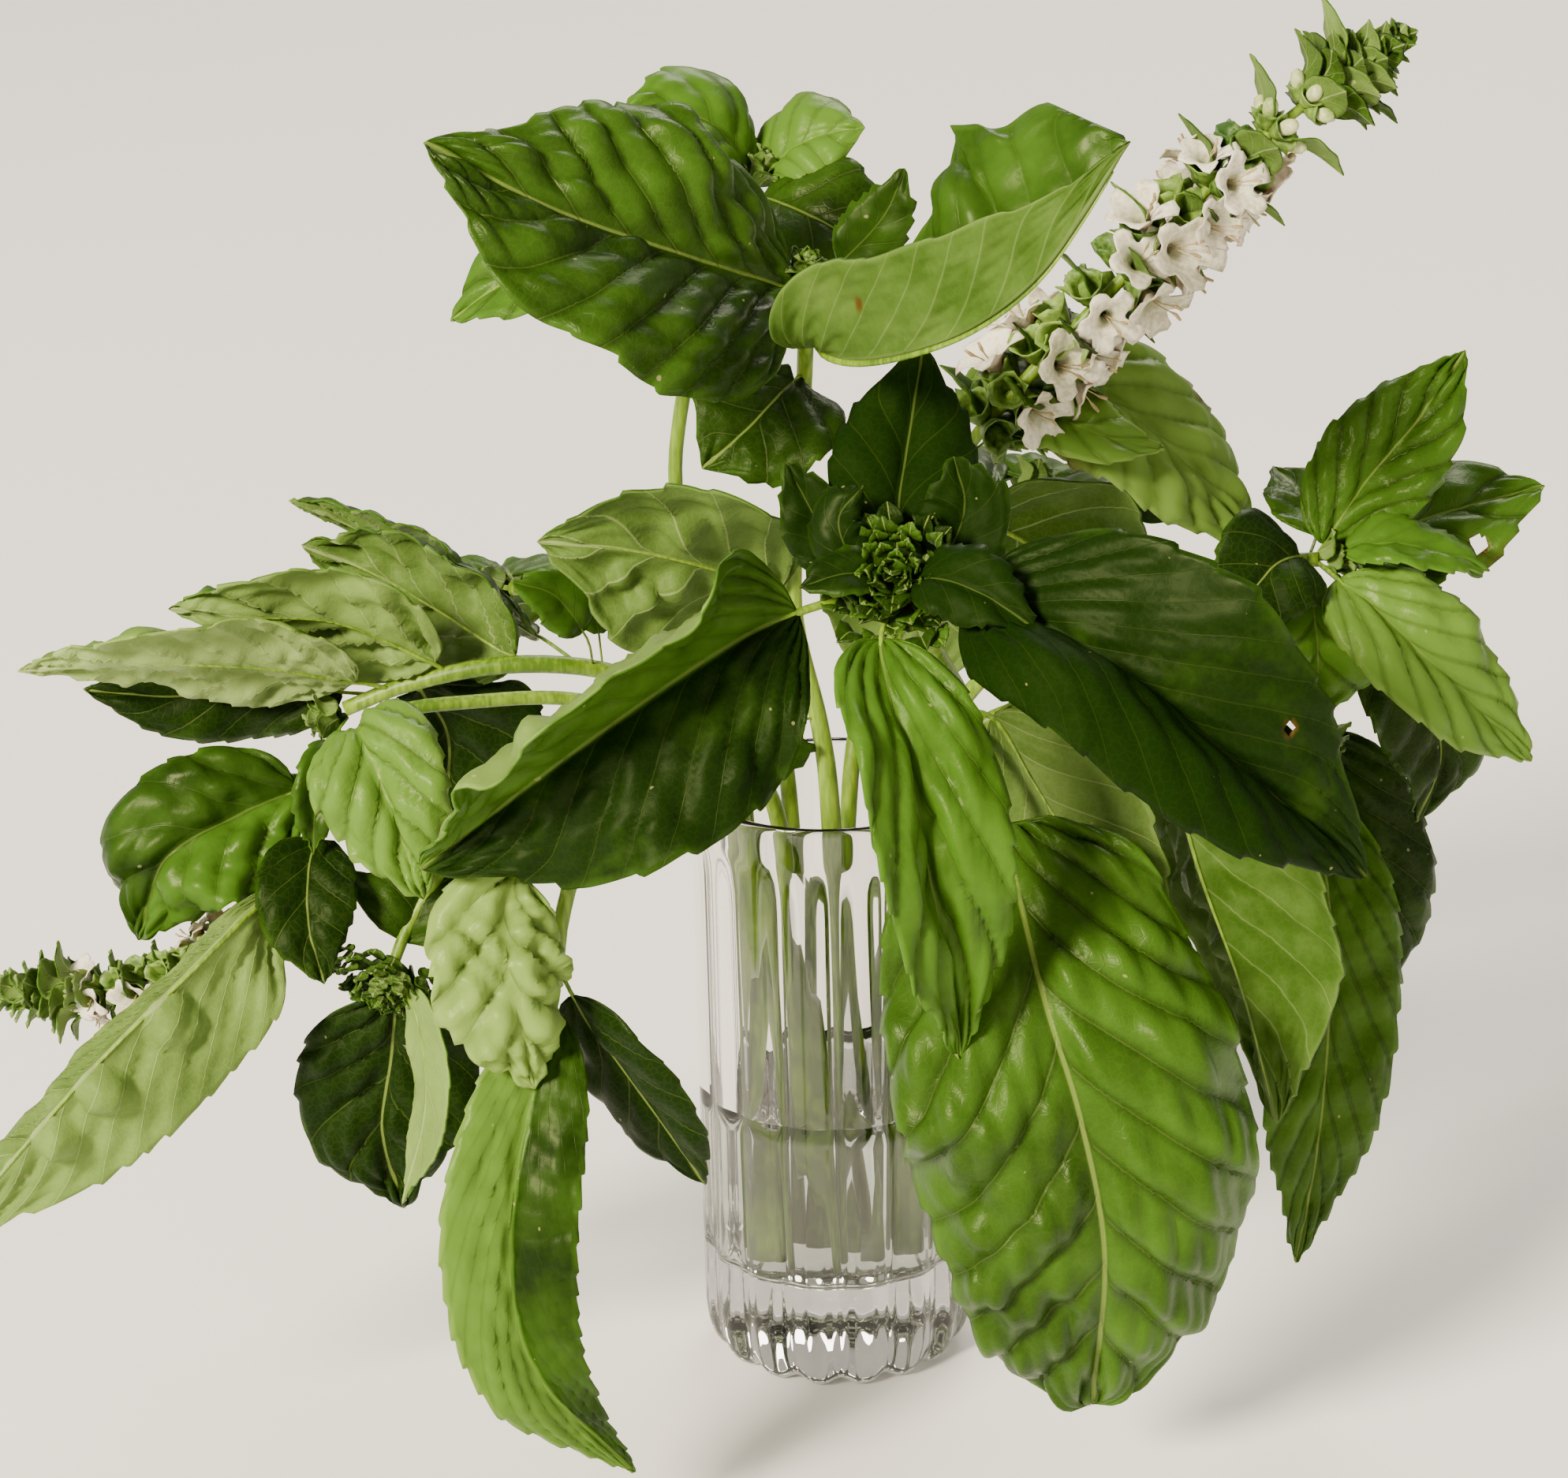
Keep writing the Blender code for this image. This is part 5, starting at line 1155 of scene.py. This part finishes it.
def spun(name, profile, steps, material):
    """A closed body spun about Z from a half profile of (radius, height) in mm."""
    mesh = bpy.data.meshes.new(name)
    mesh.from_pydata([(r * MM, 0, z * MM) for r, z in profile],
                     [(i, i + 1) for i in range(len(profile) - 1)], [])
    piece = bpy.data.objects.new(name, mesh)
    bpy.context.scene.collection.objects.link(piece)
    bpy.ops.object.select_all(action="DESELECT")
    piece.select_set(True)
    bpy.context.view_layer.objects.active = piece
    bpy.ops.object.mode_set(mode="EDIT")
    bpy.ops.mesh.select_all(action="SELECT")
    bpy.ops.mesh.spin(steps=steps, angle=2 * math.pi, center=(0, 0, 0), axis=(0, 0, 1))
    bpy.ops.mesh.select_all(action="SELECT")
    bpy.ops.mesh.remove_doubles(threshold=0.000005)
    bpy.ops.mesh.normals_make_consistent(inside=False)
    bpy.ops.object.mode_set(mode="OBJECT")
    piece.data.materials.append(material)
    piece.data.shade_smooth()
    return piece


def bore(height):
    """The bore's radius at a height: it widens by 0.8 mm towards the rim."""
    return BORE_RADIUS + 0.8 * (height - 30) / 94


def rounded(points, step):
    """A smooth run of (radius, height) points through a few, about a step apart."""
    path = smooth_path([(r, 0, z) for r, z in points], 200)
    path = smooth_path([(r, 0, z) for r, z in points], max(4, round(path_length(path) / step)))
    return [(max(r, 0.0), z) for r, _, z in path]


clear_glass = new_material("pressed_soda_lime_glass")
finish_shader(clear_glass, {"Base Color": srgb("#fbfbf8"), "Roughness": 0.0, "IOR": 1.5,
                            "Transmission Weight": 1.0})

OUTSIDE = rounded([(0, 1.2), (12, 1.0), (20, 0.5), (24.2, 0.0), (26.6, 0.7), (28.9, 3.2),
                   (30.4, 7.5), (GLASS_RADIUS, 13.0)], 1.6)
WALL = [(GLASS_RADIUS, z) for z in np.linspace(16, RIB_TOP - 4, 28)]
LIP = rounded([(GLASS_RADIUS, 126), (30.8, 129), (30.5, 133), (30.1, 135.4), (29.3, 136.0),
               (28.7, 135.3), (28.5, 133), (28.4, 124)], 0.8)
INSIDE = [(bore(z), z) for z in np.linspace(118, 34, 16)]
FLOOR = rounded([(27.6, 30), (27.0, 27), (25.2, 24.9), (21.5, 24.2), (12, 24.0), (0, 23.9)], 1.6)
glass = spun("glass_tumbler_clear", OUTSIDE + WALL + LIP + INSIDE + FLOOR, SPIN_STEPS,
             clear_glass)
spots = np.empty(len(glass.data.vertices) * 3)
glass.data.vertices.foreach_get("co", spots)
spots = spots.reshape(-1, 3) / MM
far = np.hypot(spots[:, 0], spots[:, 1])
outer = (far > 29.2) | (spots[:, 2] < 20)
turned = np.arctan2(spots[:, 1], spots[:, 0]) * RIB_COUNT / 2
fade = ease(RIB_TOP + 2, RIB_TOP - 7, spots[:, 2]) * ease(14, 26, far)
dip = RIB_DEPTH * fade * outer * np.abs(np.sin(turned + math.pi / 2)) ** 3
spots[:, :2] *= (1 - dip / np.maximum(far, 1))[:, None]
foot = outer * ease(14, 0, spots[:, 2]) * ease(20, 26, far)
spots[:, 2] += 1.1 * foot * np.abs(np.sin(turned + math.pi / 2)) ** 3
glass.data.vertices.foreach_set("co", (spots * MM).astype(np.float32).ravel())
glass.data.update()
print("glass:", len(glass.data.polygons), "faces,", RIB_COUNT, "flutes")

# %% [markdown]
# ## The water
#
# Water wets the glass, so it climbs a little where it meets the wall. Light should pass from
# glass to water with no air between, so the water is spun a hair wider than the bore.

# %% The water
WET = 0.06
water_surface = rounded([(0, WATER_LEVEL - 0.7), (15, WATER_LEVEL - 0.7),
                         (23, WATER_LEVEL - 0.5), (26.2, WATER_LEVEL + 0.1),
                         (27.9 + WET, WATER_LEVEL + 1.4)], 1.5)
water_wall = [(bore(z) + WET, z) for z in np.linspace(60, 34, 6)]
water_floor = [(r + WET * (r > 0.1), z - WET) for r, z in FLOOR]
clear_water = new_material("still_water")
finish_shader(clear_water, {"Base Color": srgb("#f6faf6"), "Roughness": 0.0, "IOR": 1.333,
                            "Transmission Weight": 1.0})
water = spun("still_water", water_surface + water_wall + water_floor, WATER_STEPS,
             clear_water)
print("water stands", round(WATER_LEVEL - GLASS_FLOOR, 1), "mm deep")
for piece, cad_name, slot in ((glass, "glass_tumbler", "clear_glass"), (water, "water", "water")):
    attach(piece, "root")
    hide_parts(cad_name)

# %% [markdown]
# ## Building the stems
#
# Each stem becomes one piece: its stalks, leaves and flowers joined, as they grow. The stems
# swell and thin a little in a slow wave along their length.

# %% Building the stems
SIZE_STEP = 4.0
STEM_SIDES = 12


def stem_tube(name, route, thick, thin):
    """A stem or branch as a tapering tube with slight swellings."""
    path = smooth_path(route, 60)
    count = max(8, round(path_length(path) / SIZE_STEP))
    path = smooth_path(route, count)
    along = np.linspace(0, 1, count + 1)
    radii = np.linspace(thick, thin, count + 1) * (1 + 0.05 * np.sin(along * 23 + len(name)))
    tone = 0.5 * ease(70, 140, np.array([path[0][2], *path[:, 2], path[-1][2]]))
    return tube(name, path, radii, STEM_SIDES, stem_skin, tone=tone[:, None])


def build_stem(stem, seed):
    """All of one stem's shapes, joined into one piece that stands for its CAD node."""
    name = stem["name"]
    parts = [stem_tube(name + "_stem", stem["route"], stem["thick"], stem["thin"])]
    for route in stem.get("branches", []):
        parts.append(stem_tube(name + "_branch", route, stem["thin"], 0.8 * stem["thin"]))
    for number, form in enumerate(stem["leaves"]):
        looks = LOOKS.get(name, {}).get(number, {})
        parts += make_leaf(f"{name}_{number}", seed + number, **{**form, **looks})
    for axis, open_to, size, *tuft in stem.get("spikes", []):
        if tuft:
            parts += make_spike(name + "_spike", axis, open_to, size, seed + 60, *tuft)
        else:
            parts += make_head(name + "_head", axis[0], np.subtract(axis[-1], axis[0]), size,
                               seed + 60)
    if "spikes" not in stem:
        end = np.array(stem["route"][-1], float)
        parts += make_tuft(name + "_bud", end, end - stem["route"][-2], 5, 8, 12, seed + 80,
                           (0.2, 0.9), 0.8, dome=1.5)
    piece = join(name + "_leafy", parts)
    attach(piece, "root")
    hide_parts(name)
    return piece


grown = [build_stem(stem, 100 * number) for number, stem in enumerate(STEMS)]
for piece in grown:
    print(piece.name, len(piece.data.polygons), "faces")

# %% [markdown]
# ## Floor and light
#
# The picture's object stands on white, lit warmly from the left and the front. A pale floor
# much wider than the view, one strong light on the left, a weak wide one on the right, one from
# behind that rims the leaves, and an even surrounding come close to its light.

# %% Floor and light
FLOOR_SIZE = 8.0
LIT_PLACE = (0, 0.3, 0.15)
bpy.ops.object.select_all(action="DESELECT")
bpy.ops.mesh.primitive_grid_add(x_subdivisions=8, y_subdivisions=8, size=FLOOR_SIZE)
floor = bpy.context.object
floor.name = "pale_floor"
pale = new_material("pale_floor_paint")
finish_shader(pale, {"Base Color": srgb("#fbfaf8"), "Roughness": 0.9})
floor.data.materials.append(pale)
floor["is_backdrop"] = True


def soft_light(name, place, target, size, power, colour):
    """An area light at a place, turned to look at a target."""
    bpy.ops.object.light_add(type="AREA", location=place)
    light = bpy.context.object
    light.name = name
    light.data.shape = "DISK"
    light.data.size = size
    light.data.energy = power
    light.data.color = srgb(colour)[:3]
    way = np.subtract(place, target)
    light.rotation_euler = (math.atan2(math.hypot(way[0], way[1]), way[2]), 0,
                            math.atan2(way[0], -way[1]))
    return light


for name, place, size, power, colour in (
        ("key_light", (-2.2, -2.7, 2.1), 1.1, 460, "#fff0d8"),
        ("fill_light", (2.6, -1.8, 1.6), 2.2, 25, "#fff2e0"),
        ("back_light", (0.8, 2.8, 3.0), 2.2, 110, "#fff6ea")):
    soft_light(name, place, LIT_PLACE, size, power, colour)
world = bpy.data.worlds.new("soft_room")
bpy.context.scene.world = world
world.use_nodes = True
world.node_tree.nodes["Background"].inputs["Color"].default_value = srgb("#fff4e4")
world.node_tree.nodes["Background"].inputs["Strength"].default_value = 0.5
print("floor", FLOOR_SIZE, "m wide")

shown_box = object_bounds()
for corner, near in zip(cad_box, shown_box):
    print("box corner, CAD and shown, mm:", [round(c * 1000) for c in corner],
          [round(c * 1000) for c in near])
